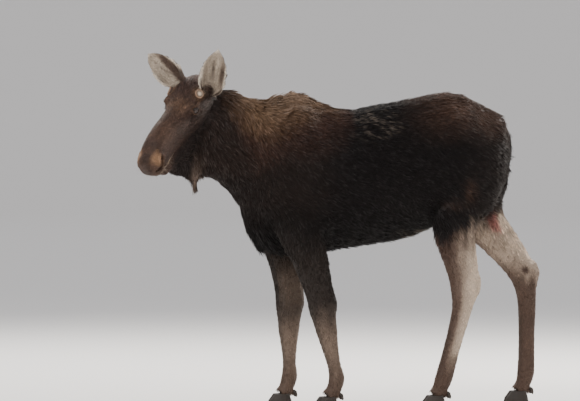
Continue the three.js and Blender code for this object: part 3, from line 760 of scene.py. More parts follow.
# %% Colours of the coat
COAT = {name: colour(*c) for name, c in {
    "flank": (27, 23, 23), "belly": (17, 14, 14), "shoulder": (41, 33, 30),
    "auburn": (62, 43, 36), "saddle": (86, 65, 50), "hump": (142, 121, 103),
    "crest": (122, 97, 75), "croup": (86, 64, 53), "rump": (38, 32, 30), "neck": (46, 36, 32),
    "face": (74, 56, 48), "brow": (112, 86, 67), "muzzle": (86, 64, 51), "nose": (56, 43, 37),
    "nostril": (158, 122, 92), "lip": (202, 184, 164), "jaw": (44, 37, 35),
    "foreleg": (42, 35, 31), "stocking": (118, 101, 88), "shank": (120, 102, 91),
    "pale": (208, 188, 168), "cannon": (84, 66, 56), "pastern": (82, 64, 54),
    "ear": (176, 161, 144), "ear_rim": (226, 214, 198), "ear_back": (80, 63, 54),
    "ear_fold_shade": (62, 48, 42), "tail": (32, 28, 27), "lock": (124, 106, 94),
    "gum": (236, 208, 170), "bare": (172, 104, 98), "fringe": (146, 132, 119),
    "eyelid": (22, 17, 16)}.items()}
EARS = {LEFT: {"tip": (0.38, -0.30, 0.87), "cup": (0.49, 0.60, 0.63),
               "root": (0.092, 0.034, -0.024)},
        RIGHT: {"tip": (-0.81, -0.31, 0.50), "cup": (0.50, 0.56, 0.66),
                "root": (-0.098, 0.026, 0.0)}}
EAR_LENGTH, EAR_HALF_WIDTH = 0.29, 0.075


def along_body(y, *pairs):
    """A height that changes along the body: pairs of y and z."""
    ys, zs = zip(*pairs)
    return np.interp(y, ys, zs)


def flat_colour(coat, count):
    return COAT[coat] * np.ones((count, 1))


def layered(c, *coats):
    """Paints coats one over another; each is a colour's name and its mask."""
    for coat, mask in coats:
        c = mix(c, flat_colour(coat, len(c)), np.clip(mask, 0, 1))
    return c


def blotches(co, coarse, fine, seed):
    return (0.5 + 0.5 * value_noise(co, coarse, seed)
            + 0.25 * value_noise(co, fine, seed + 1))


def patchy(blotch):
    return np.clip(0.35 + 0.6 * blotch, 0, 0.95)


def saddled(c, co, blotch):
    """Paints the golden saddle, which runs from the poll over the hump, and the auburn below it."""
    y, z = co[:, 1], co[:, 2]
    edge = along_body(y, (CHEST - 0.20, 1.95), (CHEST - 0.115, 1.85), (CHEST - 0.04, 1.735),
                      (CHEST + 0.02, 1.65), (CHEST + 0.08, 1.57), (CHEST + 0.16, 1.58),
                      (CHEST + 0.24, 1.63), (CHEST + 0.33, 1.665), (CHEST + 0.45, 1.69),
                      (CHEST + 0.56, 1.72), (CHEST + 0.62, 1.78), (CHEST + 0.67, 2.1))
    above = z - edge - 0.07 * (blotch - 0.5)
    on_neck = fall(y, CHEST - 0.12, CHEST + 0.10)
    top = step(above, 0.06, 0.22) * step(y, CHEST + 0.08, CHEST + 0.30)
    return layered(
        c,
        ("auburn", step(above, -0.26, -0.02) * step(y, CHEST - 0.10, CHEST + 0.05) * 0.85),
        ("saddle", step(above, -0.06 - 0.10 * on_neck, 0.05) * (1 - 0.35 * on_neck)),
        ("crest", step(above, 0.02, 0.16) * patchy(blotch)),
        ("hump", top * np.clip(0.25 + 0.75 * blotch, 0, 0.95)))


def trunk_colour(co, no, side):
    y, z = co[:, 1], co[:, 2]
    blotch = blotches(co, 0.11, 0.04, 11)
    croup = step(y, RUMP - 0.78, RUMP - 0.46) * step(z, 1.50, 1.74)
    c = layered(flat_colour("flank", len(co)),
                ("shoulder", fall(y, CHEST + 0.30, CHEST + 0.62) * 0.9),
                ("belly", fall(z, BELLY + 0.12, BELLY + 0.40)),
                ("rump", step(y, RUMP - 0.45, RUMP - 0.15)),
                ("croup", croup * patchy(blotch)))
    slant = np.stack([co[:, 0] * 2, (y + 1.7 * z) * 2.6, y * 0.8 - z * 0.5], axis=1)
    streak = value_noise(slant, 0.045, 13) + 0.5 * value_noise(slant, 0.021, 19)
    brushed = bump(y, CHEST + 0.76, 0.22) * bump(z, 1.66, 0.14) * step(streak, 0.1, 0.7)
    stifle = bump(y, RUMP - 0.39, 0.13) * bump(z, 1.26, 0.15)
    groin = bump(y, RUMP - 0.56, 0.24) * fall(z, BELLY + 0.12, BELLY + 0.19)
    return layered(saddled(c, co, blotch),
                   ("fringe", brushed * 0.5),
                   ("croup", stifle * step(blotch, 0.30, 0.7)),
                   ("fringe", groin * step(streak, -0.3, 0.3) * 0.6))


EAR_STREAK = np.array([(0.165, -0.745, 1.875), (0.050, -0.757, 1.845), (0.050, -0.766, 1.805)])


def neck_colour(co, no, side):
    blotch = blotches(co, 0.09, 0.035, 14)
    c = layered(flat_colour("neck", len(co)), ("flank", fall(co[:, 2], 1.30, 1.48) * 0.6))
    behind_ear = fall(distance_to(EAR_STREAK, co), 0.012, 0.026)
    return layered(with_lock(saddled(c, co, blotch), co), ("ear", behind_ear * 0.8))


def with_lock(c, co):
    """The pale lock that hangs from the throat into the point of the bell."""
    lock = bump(co[:, 1], CHEST - 0.255, 0.055) * fall(co[:, 2], 1.42, 1.52)
    uneven = 0.6 + 0.4 * value_noise(co * [1, 1, 0.2], 0.012, 18)
    return layered(c, ("lock", lock * uneven))


def bell_colour(co, no, side):
    return with_lock(flat_colour("jaw", len(co)), co)


# %% Colours of the head
TAN_PATCH, TAN_SIZE = np.array([0.062, 0.630, 0.068]), np.array([0.036, 0.046, 0.058])


def openings_painted(c, q):
    """Paints the lips, the mouth's pale corner, the nostrils and the tear lines."""
    folded, left = both_sides(q), q[:, 0] > 0
    mouth, corner = distance_to(MOUTH, folded), distance_to(MOUTH[-9:], folded)
    order = np.argsort(MOUTH[:, 1])
    line = np.interp(folded[:, 1], MOUTH[order, 1], MOUTH[order, 2])
    above = step(folded[:, 2] - line, -0.002, 0.003)
    return layered(
        c,
        ("lip", bump(mouth, 0.009, 0.007) * above * np.where(left, 0.55, 0.25)),
        ("gum", fall(corner, 0.007, 0.013) * np.where(left, 0.9, 0.15)),
        ("eyelid", fall(mouth, 0.002, 0.006)),
        ("eyelid", fall(distance_to(NOSTRIL, folded), 0.005, 0.011)),
        ("eyelid", fall(distance_to(TEAR_LINE, folded), 0.002, 0.010) * 0.8),
        ("brow", bump(norm(folded - PEDICLE_FOOT), 0.036, 0.024) * 0.8))


def face_colour(co, no, side):
    q = in_head(co)
    folded = both_sides(q)
    out, along, up = folded.T
    blotch = 0.5 + 0.5 * value_noise(q, 0.05, 16)
    fine = value_noise(q * [1, 0.45, 1], 0.009, 31) * 0.24 + value_noise(q, 0.019, 32) * 0.20
    fine = fine + value_noise(q, 0.012, 35) * 0.22 * step(along, 0.48, 0.58)
    tan = norm((folded - TAN_PATCH) / TAN_SIZE)
    c = layered(
        flat_colour("face", len(co)),
        ("neck", fall(along, 0.05, 0.24) * step(-up, -0.02, 0.08) * 0.8),
        ("neck", step(out, 0.052, 0.086) * step(-up, -0.06, 0.03) * 0.55),
        ("auburn", fall(along, 0.10, 0.22) * step(up, 0.02, 0.08) * 0.75),
        # painted highlight: the top of the brow and forehead painted lighter, where light falls on
        # it from above
        ("brow", bump(along, 0.262, 0.10) * step(up, 0.045, 0.085) * 0.55),
        # painted highlight: the top of the nose bridge painted lighter, where light falls on it
        # from above
        ("muzzle", bump(along, 0.45, 0.16) * step(up, 0.02, 0.09) * 0.7),
        ("muzzle", step(along, 0.56, 0.62) * 0.55),
        ("nose", step(along, 0.58, 0.63) * fall(out, 0.012, 0.040) * 0.75),
        ("nose", bump(along, 0.565, 0.045) * step(up, 0.05, 0.10) * 0.6),
        ("nostril", fall(tan + 0.25 * blotch + fine, 0.35, 1.25) * 0.9),
        ("jaw", fall(up, -0.12, -0.05) * fall(along, 0.48, 0.60) * 0.85))
    c = openings_painted(c * np.clip(0.92 + 0.16 * blotch + fine, 0.4, 1.6)[:, None], q)
    for s in EYES:
        r, ahead, a, b = eye_angles(q, s)
        opening = np.where((r < 0.05) & (ahead > 0), eye_opening(a, b), 9.0)
        ring = fall(np.where(ahead > 0, r, 9.0), 0.028, 0.048)
        c = layered(c, ("brow", ring * 0.35), ("eyelid", fall(opening, 1.05, 1.75)))
    return c


def ear_place(q, way):
    """How far along its ear each point is, how far across it, and how far it faces the cup."""
    found = []
    for ear in (EARS[LEFT], EARS[RIGHT]):
        tip, cup, root = (np.array(ear[k]) for k in ("tip", "cup", "root"))
        tip, cup = unit(tip), unit(cup)
        cup = unit(cup - tip * (cup @ tip))
        found.append(((q - root) @ tip / EAR_LENGTH,
                      (q - root) @ np.cross(tip, cup) / EAR_HALF_WIDTH, way @ cup))
    own = q[:, 0] > 0
    return [np.where(own, left, right) for left, right in zip(*found)]


def ear_colour(co, no, side):
    q = in_head(co)
    on_left = q[:, 0] > 0
    t, across, facing = ear_place(q, (no @ HEAD_AXES.T) * [1, -1, 1])
    flat = np.stack([across * EAR_HALF_WIDTH, t * 0.05, 0 * t], axis=1)
    streak = value_noise(flat, 0.006, 33) * 0.7 + value_noise(flat, 0.014, 34) * 0.5
    inside = step(facing, -0.05, 0.30)
    rim = np.clip(step(np.abs(across), 0.70, 0.93) + step(t, 0.90, 0.98), 0, 1)
    wedge = step(across, -0.90, -0.62) * fall(across + 0.5 * t, -0.10, 0.20)
    wedge = wedge * fall(t, 0.62, 0.95)
    strip = step(across, -0.92, -0.74) * fall(across, -0.52, -0.34) * bump(t, 0.50, 0.50)
    # painted shade: a dark line down the fold inside each ear, where shade falls in the crease,
    # stronger on the left ear
    fold = bump(across - 0.25 * (t - 0.5), 0.10, 0.22) * bump(t, 0.50, 0.36)
    within = layered(
        flat_colour("ear", len(co)) * (1 + 0.28 * streak)[:, None],
        ("ear_back", np.where(on_left, strip * 0.9, wedge * 0.95)),
        ("ear_fold_shade", fold * (0.75 + 0.3 * streak) * np.where(on_left, 1, 0.5)),
        ("ear_rim", rim * 0.9))
    behind = layered(flat_colour("ear_back", len(co)),
                     ("ear_rim", rim * bump(facing, 0, 0.5) * 0.7))
    return mix(behind, within, inside)


# %% Colours of the legs
BARE_PATCH = np.array([MIDLINE - 0.08, RUMP - 0.125, 1.125])
HOCK_GLAND = np.array([MIDLINE - 0.11, RUMP + 0.100, 0.800])


def leg_masks(co, no, side):
    """How far each point faces forward, back and in, and a mottle that runs down the leg."""
    inner = step(-no[:, 0] * np.sign(side), 0.05, 0.65)
    mottle = value_noise(co * [1, 1, 0.4], 0.030, 17)
    return step(-no[:, 1], 0.15, 0.85), step(no[:, 1], -0.45, 0.35), inner, mottle


def gland_mask(co):
    """The dark spot inside the far hock."""
    return fall(norm((co - HOCK_GLAND) * [0.4, 1, 1]), 0.014, 0.030) * 0.9


def upper_foreleg_colour(co, no, side):
    front, _, inner, mottle = leg_masks(co, no, side)
    z = co[:, 2]
    return layered(
        flat_colour("foreleg", len(co)),
        ("flank", step(z, 0.85, 1.05) * 0.6),
        ("stocking", inner * (1 - front) * fall(z, 0.70, 0.95) * 0.5),
        ("stocking", fall(z + 0.05 * mottle, 0.44, 0.62) * (1 - 0.5 * front)))


def upper_hindleg_colour(co, no, side):
    front, rear, inner, mottle = leg_masks(co, no, side)
    y, z = co[:, 1], co[:, 2]
    c = layered(flat_colour("shank", len(co)),
                ("pale", np.maximum(rear * 0.95, inner * 0.62)),
                ("cannon", front * 0.9),
                ("cannon", (side < 0) * fall(z, 0.74, 0.92) * 0.8))
    outer_top = along_body(y, (RUMP - 0.46, 0.95), (RUMP - 0.36, 1.04), (RUMP - 0.26, 1.12))
    above = z - mix(outer_top, 1.20, inner) - 0.05 * mottle
    wide = step(-no[:, 1], -0.40, 0.55) * step(z, 0.66, 0.80) * (side > 0)
    spot = co - BARE_PATCH
    down = spot[:, 1] * 0.5 - spot[:, 2] * 0.87
    level = spot[:, 1] * 0.87 + spot[:, 2] * 0.5
    pink = np.hypot(down / 0.115, level / 0.045) + (np.abs(spot[:, 0]) > 0.10) * 9 + 0.15 * mottle
    return layered(c * (1 + 0.18 * mottle)[:, None],
                   ("cannon", wide * 0.75),
                   ("auburn", step(above, -0.24, 0.02) * (1 - inner) * 0.75),
                   ("flank", step(above, -0.05, 0.08)),
                   ("auburn", gland_mask(co)),
                   ("bare", fall(pink, 0.55, 1.1) * 0.85))


def shin_colour(co, no, side):
    front, rear, inner, mottle = leg_masks(co, no, side)
    z = co[:, 2] + 0.04 * mottle
    high = np.where(side < 0, step(z, 0.70, 0.86), step(z, 0.16, 0.46))
    fore = layered(flat_colour("stocking", len(co)),
                   ("foreleg", step(z, 0.40, 0.60) * 0.85), ("foreleg", front * 0.5))
    hind = layered(flat_colour("cannon", len(co)),
                   ("shank", (0.25 + 0.5 * inner) * (1 - front) * high),
                   ("pale", rear * high * 0.8),
                   ("foreleg", front * fall(z, 0.30, 0.75) * 0.35),
                   ("auburn", gland_mask(co)))
    c = np.where((co[:, 1] < (CHEST + RUMP) / 2)[:, None], fore, hind)
    return layered(c * (1 + 0.14 * mottle)[:, None], ("pastern", fall(z, 0.12, 0.36) * 0.8))


def plain(coat):
    return lambda co, no, side: flat_colour(coat, len(co))


REGION_COLOURS = {"trunk": trunk_colour, "neck": neck_colour, "face": face_colour,
                  "ear": ear_colour, "tail": plain("tail"), "bell": bell_colour,
                  "foreleg": upper_foreleg_colour, "hindleg": upper_hindleg_colour,
                  "shin": shin_colour, "foot": shin_colour}


def markings(co, no, shares):
    side = co[:, 0] - MIDLINE
    total = np.zeros((len(co), 3))
    for name, paint in REGION_COLOURS.items():
        here = shares[name] > 0.001
        if here.any():
            total[here] += shares[name][here, None] * paint(co[here], no[here], side[here])
    weight = sum(shares.values())
    return total / np.maximum(weight, 1e-6)[:, None]


skin_no = vertex_normals(skin.data)
skin_colour = markings(skin_co, skin_no, region)
add_values(skin.data, "markings", skin_colour * 0.8)
print("skin colours from", skin_colour.min().round(4), "to", skin_colour.max().round(3))

# %% [markdown]
# ## An unwrap for the coat
# Colours can be baked through a map named OFBake. Each tuft could have its own island there, but so
# many would be smaller than a pixel. So every tuft keeps a small patch of the skin's own unwrap, at
# its root.

# %% Unwrapping the skin
def unwrap(obj, angle=66):
    """Cuts the surface into flat charts in a map named OFBake."""
    obj.data.uv_layers.new(name="OFBake")
    with bpy.context.temp_override(active_object=obj, object=obj, selected_objects=[obj]):
        bpy.context.view_layer.objects.active = obj
        obj.select_set(True)
        bpy.ops.object.mode_set(mode="EDIT")
        bpy.ops.mesh.select_all(action="SELECT")
        bpy.ops.uv.smart_project(angle_limit=math.radians(angle), island_margin=0.001)
        bpy.ops.object.mode_set(mode="OBJECT")
        obj.select_set(False)


def corner_uvs(mesh):
    """The unwrap at each triangle's three corners."""
    uv = np.empty(len(mesh.loops) * 2, np.float32)
    mesh.uv_layers["OFBake"].uv.foreach_get("vector", uv)
    loops = np.empty(len(mesh.loop_triangles) * 3, np.int32)
    mesh.loop_triangles.foreach_get("loops", loops)
    return uv.reshape(-1, 2)[loops].reshape(-1, 3, 2)


unwrap(skin)
skin_tri = triangle_corners(skin.data)
skin_uv = corner_uvs(skin.data)
skin_area = triangle_areas(skin_co, skin_tri)
for name, share in region.items():
    print(f"{name:8s} {(skin_area * share[skin_tri].mean(axis=1)).sum():.2f} square metres")

# %% [markdown]
# ## The lie of the coat
# Hair runs back and down the body, down the neck and legs, up the face from the nose, and out
# along the ears. Blender can comb hair by hand with brushes. A field of directions over the
# skin and a field of lengths do it by rule, and give the same coat on each run.

# %% Which way the hair lies
def towards(x, y, z):
    return np.array([x, y, z], float)


def head_way(out, along, up):
    """A direction of the head given in its own frame."""
    return np.array([out, -along, up]) @ HEAD_AXES


def ear_spread(q):
    """Turns the hair of the ears outwards at their edges."""
    spread = np.zeros((len(q), 3))
    for side, ear in EARS.items():
        tip, cup, root = (np.array(ear[k]) for k in ("tip", "cup", "root"))
        out = unit(np.cross(tip, cup))
        across = (q - root) @ out / EAR_HALF_WIDTH
        own = (q[:, 0] * side > 0) * step(np.abs(across), 0.2, 0.9) * np.sign(across) * 1.3
        spread += own[:, None] * head_way(*out)
    return spread


def lie_of_coat(co, no):
    side = np.sign(co[:, 0] - MIDLINE)[:, None]
    flat = step(no[:, 2], 0.2, 0.9)[:, None]
    front = fall(co[:, 1], CHEST, CHEST + 0.40)[:, None]
    under = step(-no[:, 2], 0.4, 0.9)[:, None]
    q = in_head(co)
    outward = np.sign(q[:, :1]) * head_way(1, 0, 0)
    trunk = (towards(0, 1, -0.55) + flat * towards(0, 0.3, 0.45) + front * towards(0, -0.45, -0.75)
             + under * towards(0, 0.2, 0.5) + side * flat * towards(0.35, 0, 0))
    neck = towards(0, 0.42, -1.0) + flat * towards(0, 0.75, 0.7) + side * flat * towards(0.3, 0, 0)
    face = head_way(0, -1, -0.35) + outward * 0.35
    left_ear = q[:, :1] > 0
    ear = np.where(left_ear, head_way(*EARS[LEFT]["tip"]), head_way(*EARS[RIGHT]["tip"]))
    ear = ear + ear_spread(q)
    thigh = towards(0, 0.45, -1)
    down = towards(0, 0.10, -1)
    ways = {"trunk": trunk, "neck": neck, "face": face, "ear": ear, "tail": down, "bell": down,
            "foreleg": down, "hindleg": thigh, "shin": down, "foot": down}
    return sum(region[name][:, None] * way for name, way in ways.items())


def on_surface(way, no):
    return unit(way - (way * no).sum(axis=1, keepdims=True) * no)


around = Neighbours(skin.data)
lie = on_surface(lie_of_coat(skin_co, skin_no), skin_no)
for _ in range(12):
    lie = on_surface(around.smooth(lie, 2), skin_no)
print("hair of the trunk lies towards", lie[region["trunk"] > 0.9].mean(axis=0).round(2))

# %% How long it is
def hair_length(co, no):
    y, z = co[:, 1], co[:, 2]
    hump = bump(y, WITHERS - 0.05, 0.50) * step(z, 1.45, 1.75)
    fringe = step(-no[:, 2], -0.05, 0.55) * fall(z, BELLY + 0.05, BELLY + 0.20)
    brisket = bump(y, CHEST + 0.08, 0.26) * fall(z, BELLY + 0.06, BELLY + 0.30)
    trunk = 0.050 + 0.020 * hump + 0.006 * fringe + 0.030 * brisket
    neck = 0.066 + 0.010 * step(z, 1.6, 1.8)
    q = in_head(co)
    beard = step(-q[:, 2], 0.10, 0.17) * fall(q[:, 1], 0.46, 0.56)
    poll = fall(q[:, 1], 0.02, 0.16) * step(q[:, 2], -0.04, 0.03)
    muzzle = step(q[:, 1], 0.36, 0.56)
    face = 0.019 - 0.010 * muzzle + 0.026 * beard + 0.014 * poll
    t, across, _ = ear_place(q, (no @ HEAD_AXES.T) * [1, -1, 1])
    ear = 0.017 + 0.010 * step(np.abs(across), 0.70, 0.95) - 0.008 * step(t, 0.80, 0.95)
    lengths = {"trunk": trunk, "neck": neck, "face": face, "ear": ear,
               "tail": 0.080 + 0 * z, "bell": 0.030 + 0.035 * bump(y, CHEST - 0.255, 0.11),
               "foreleg": 0.024 + 0.020 * step(z, 0.75, 1.0), "shin": 0.020 + 0 * z,
               "hindleg": 0.024 + 0.026 * step(z, 0.85, 1.1),
               "foot": 0.018 + 0.010 * bump(z, 0.10, 0.04)}
    return sum(region[name] * length for name, length in lengths.items())


length = hair_length(skin_co, skin_no)
print("hair from", length.min().round(3), "to", length.max().round(3), "m long")

# %% [markdown]
# ## Tufts
# A tuft is a thin closed blade: a flat three-sided ring at its root, one or two on its way, and a
# tip. Its path leaves the skin at an angle and bends over to lie with the coat. Neighbouring
# tufts lean to a common tip, so the coat gathers in locks where it is long. Hair curves would be
# finer, but they have no faces, and the finished model is kept as meshes.

# %% One blade, many times over
LOCK = 11                             # tufts to a lock
PROFILE = (0.75, 1.0, 0.8)            # the width of each ring, to the blade's own
THICKNESS = 0.55                      # a ring's height, to half its width


def blades(roots, ways, ups, lengths, widths, lift, droop, waves, gather, rings):
    """Points of every blade, tip last, and how far along and across the blade each one is."""
    stops = np.linspace(0, 1, rings + 1)
    angle = lift[:, None] * (1.15 - 1.25 * stops[:-1])
    right = unit(np.cross(ways, ups))
    paths = [roots - ups * np.minimum(0.003, 0.08 * lengths)[:, None]]
    for k in range(rings):
        a = angle[:, k][:, None]
        way = ways * np.cos(a) + ups * np.sin(a) + right * (waves * (stops[k] - 0.3))[:, None]
        way[:, 2] -= droop * stops[k + 1]
        paths.append(paths[-1] + unit(way) * (lengths / rings)[:, None])
    paths = gathered(np.array(paths), lengths, gather, stops)
    points = []
    for k in range(rings):
        way = unit(paths[k + 1] - paths[k])
        across = unit(np.cross(way, ups))
        above = np.cross(across, way)
        half = (widths * PROFILE[k] / 2)[:, None]
        points += [paths[k] - across * half, paths[k] + above * half * THICKNESS,
                   paths[k] + across * half]
    points.append(paths[rings])
    along = np.append(np.repeat(stops[:-1], 3), 1.0)
    across = np.append(np.tile([-1.0, 0.0, 1.0], rings), 0.0)
    return np.stack(points, axis=1), along, across


def gathered(paths, lengths, gather, stops):
    """Leans each path towards the tip of the tuft that leads its lock."""
    count = paths.shape[1]
    leaders = np.arange(0, count, LOCK)
    tree = kdtree.KDTree(len(leaders))
    for k, i in enumerate(leaders):
        tree.insert(paths[0, i], k)
    tree.balance()
    leader = leaders[[tree.find(p)[1] for p in paths[0]]]
    lean = (paths[-1, leader] - paths[-1]) * gather[:, None]
    reach = norm(lean)
    lean *= np.minimum(1, 0.6 * lengths / np.maximum(reach, 1e-9))[:, None]
    return paths + lean[None] * (stops ** 1.4)[:, None, None]


def blade_faces(rings):
    """Triangles of one closed blade, facing out."""
    faces = [(0, 2, 1)]
    for k in range(rings):
        for i, j in ((0, 1), (1, 2), (2, 0)):
            a, b = 3 * k + i, 3 * k + j
            if k < rings - 1:
                faces += [(a, b, b + 3), (a, b + 3, a + 3)]
            else:
                faces.append((a, b, 3 * rings))
    return np.array(faces)


print("a short blade has", len(blade_faces(2)), "triangles, a long one", len(blade_faces(3)))

# %% A coat piece
PATCH = 0.003                         # width of a tuft's patch on the unwrap


def triangle_mesh(name, points, faces):
    """A smooth mesh straight from arrays, which is quick for many triangles."""
    mesh = bpy.data.meshes.new(name)
    mesh.vertices.add(len(points))
    mesh.vertices.foreach_set("co", points.astype(np.float32).ravel())
    mesh.loops.add(faces.size)
    mesh.loops.foreach_set("vertex_index", faces.astype(np.int32).ravel())
    mesh.polygons.add(len(faces))
    mesh.polygons.foreach_set("loop_start", np.arange(0, faces.size, 3, dtype=np.int32))
    mesh.update(calc_edges=True)
    smooth_faces(mesh)
    return mesh


def coat_piece(name, mask, count, rings=2, width=0.10, thick=0.0, lift=0.30, droop=0.10,
               gather=0.25, grizzle=0.12, turning=0.35, vary=0.16):
    """Tufts over the part of the skin where mask is above 0, as one mesh."""
    chosen, share = scatter(skin_co, skin_tri, count, mask)
    corner = skin_tri[chosen]
    root, up = at(skin_co, corner, share), unit(at(skin_no, corner, share))
    way = on_surface(at(lie, corner, share), up)
    swirl = (value_noise(root, 0.16, 21) * turning + value_noise(root, 0.05, 22) * turning * 0.5
             + rng.normal(0, 0.13, count))
    right = np.cross(way, up)
    way = way * np.cos(swirl)[:, None] + right * np.sin(swirl)[:, None]
    size = at(length, corner, share) * rng.uniform(0.72, 1.15, count)
    points, along, across = blades(
        root, way, up, size, np.maximum(size * width, thick) * rng.uniform(0.8, 1.25, count),
        lift * rng.uniform(0.55, 1.45, count), droop, rng.normal(0, 0.25, count),
        gather * rng.uniform(0.4, 1.3, count), rings)
    per = points.shape[1]
    base = markings(root, up, {k: at(v, corner, share) for k, v in region.items()})
    tone = np.exp(rng.normal(0, vary, count)) * (1 + 0.18 * value_noise(root, 0.035, 23))
    pale = rng.random(count) < grizzle
    # painted shade: each tuft darker at its root, deep in the coat where the tufts shade it, and
    # lighter towards its tip
    shade = 0.72 + 0.42 * along
    tint = base[:, None] * tone[:, None, None] * shade[None, :, None]
    tipped = (pale[:, None] * step(along, 0.3, 1.0))[:, :, None]
    tint = tint * (1 - tipped) + (tint * 1.5 + 0.035) * tipped
    faces = (blade_faces(rings)[None] + (np.arange(count) * per)[:, None, None]).reshape(-1, 3)
    mesh = triangle_mesh(name, points.reshape(-1, 3), faces)
    add_values(mesh, "markings", tint.reshape(-1, 3))
    root_uv = (skin_uv[chosen] * share[:, :, None]).sum(axis=1)
    patch = root_uv[:, None] + PATCH / 2 * np.stack([across, along * 2 - 1], axis=1)[None]
    strand = np.stack([across[None] * 0.5 + rng.integers(0, 50, count)[:, None],
                       along[None] + rng.integers(0, 50, count)[:, None]], axis=2)
    for layer, values in (("OFBake", patch), ("strand", strand)):
        uv = mesh.uv_layers.new(name=layer)
        uv.uv.foreach_set("vector", values.reshape(-1, 2)[faces.ravel()].astype(np.float32).ravel())
    mesh.validate()
    print(f"{name:18s} {count:6d} tufts {len(mesh.polygons):7d} triangles")
    return placed(name, mesh)


# %% Masks that share out the body
def masks(co, no):
    y, z, left = co[:, 1], co[:, 2], co[:, 0] > MIDLINE
    trunk, rear = region["trunk"], step(y, RUMP - 0.56, RUMP - 0.40)
    belly = step(-no[:, 2], 0.15, 0.60) * fall(z, BELLY + 0.25, BELLY + 0.40)
    hump = fall(y, WITHERS + 0.05, WITHERS + 0.42) * step(z, 1.34, 1.60)
    side = trunk * (1 - rear) * (1 - belly) * (1 - hump)
    q = in_head(co)
    bare = np.zeros(len(co))
    for s in EYES:
        r, ahead, a, b = eye_angles(q, s)
        bare = np.maximum(bare, ((r < 0.04) & (ahead > 0) & (eye_opening(a, b) < 1.5)) * 1.0)
    folded = both_sides(q)
    openings = np.minimum(distance_to(NOSTRIL, folded), distance_to(MOUTH, folded))
    bare = np.maximum(bare, fall(openings, 0.006, 0.012))
    fine = region["face"] * (1 - bare) * (1 + 1.2 * step(q[:, 1], 0.40, 0.60))
    nose = step(q[:, 1], 0.40, 0.42)
    return {"face": fine * (1 - nose), "muzzle": fine * nose, "ears": region["ear"],
            "neck": region["neck"], "hump": trunk * hump * (1 - rear),
            "left_side": side * left, "right_side": side * ~left,
            "belly": trunk * belly * (1 - rear), "rump": trunk * rear,
            "upper_legs": region["foreleg"] + region["hindleg"],
            "lower_legs": (region["shin"] + region["foot"]) * step(z, 0.078, 0.090),
            "bell": region["bell"], "tail": region["tail"]}


parts = masks(skin_co, skin_no)
for name, mask in parts.items():
    print(f"{name:10s} {(skin_area * mask[skin_tri].mean(axis=1)).sum():.2f} square metres")

# %% Growing the coat
TUFTS = {
    "face": dict(count=17500, width=0.15, thick=0.0021, lift=0.27, droop=0.0, gather=0.28,
                 turning=0.40, vary=0.36, grizzle=0.20),
    "muzzle": dict(count=11000, width=0.17, thick=0.0017, lift=0.25, droop=0.0, gather=0.20,
                   turning=0.35, vary=0.34, grizzle=0.18),
    "ears": dict(count=9000, width=0.13, lift=0.26, droop=0.0, gather=0.3, turning=0.4, vary=0.22),
    "neck": dict(count=12000, rings=3, width=0.085, lift=0.34, droop=0.12, gather=0.45,
                 turning=0.45, grizzle=0.22),
    "hump": dict(count=11000, rings=3, width=0.080, droop=0.05, gather=0.45, turning=0.5,
                 grizzle=0.30),
    "left_side": dict(count=12800),
    "right_side": dict(count=12800),
    "belly": dict(count=8000, width=0.09, droop=0.20, gather=0.4, grizzle=0.25),
    "rump": dict(count=13200, width=0.105),
    "upper_legs": dict(count=12500, width=0.12, lift=0.24, vary=0.20),
    "lower_legs": dict(count=11000, width=0.18, lift=0.17, turning=0.20, vary=0.14),
    "bell": dict(count=3600, rings=3, width=0.07, lift=0.22, droop=0.30, gather=0.5, vary=0.22),
    "tail": dict(count=1200, rings=3, width=0.08, lift=0.18, droop=0.3, gather=0.5)}
coat = {name: coat_piece("hair_" + name, parts[name], **shape) for name, shape in TUFTS.items()}
print("coat of", sum(len(o.data.polygons) for o in coat.values()), "triangles")

# %% [markdown]
# ## Whiskers and lashes
# A moose has stiff whiskers round its lips and long lashes on its upper lids. Geometry Nodes set
# one thin cone on each of many random points, turn it to the skin and join them all. A particle
# system could do the same, but a node tree has its sizes and its seed as named inputs.

# %% Setting up nodes
def feed(tree, node, inputs):
    """Gives inputs of a node their values, or links from other nodes' outputs."""
    for key, value in dict(inputs).items():
        if isinstance(value, bpy.types.NodeSocket):
            tree.links.new(value, node.inputs[key])
        else:
            node.inputs[key].default_value = value


def wired(tree, kind, inputs=(), **settings):
    """A new node with its settings and its inputs."""
    node = tree.nodes.new(kind)
    for name, value in settings.items():
        setattr(node, name, value)
    feed(tree, node, inputs)
    return node


def add_sockets(tree, inputs, outputs):
    """Sockets of a node group, each with its kind and its value, or None."""
    for way, sockets in (("INPUT", inputs), ("OUTPUT", outputs)):
        for label, (kind, value) in sockets.items():
            socket = tree.interface.new_socket(label, in_out=way, socket_type="NodeSocket" + kind)
            if value is not None:
                socket.default_value = value


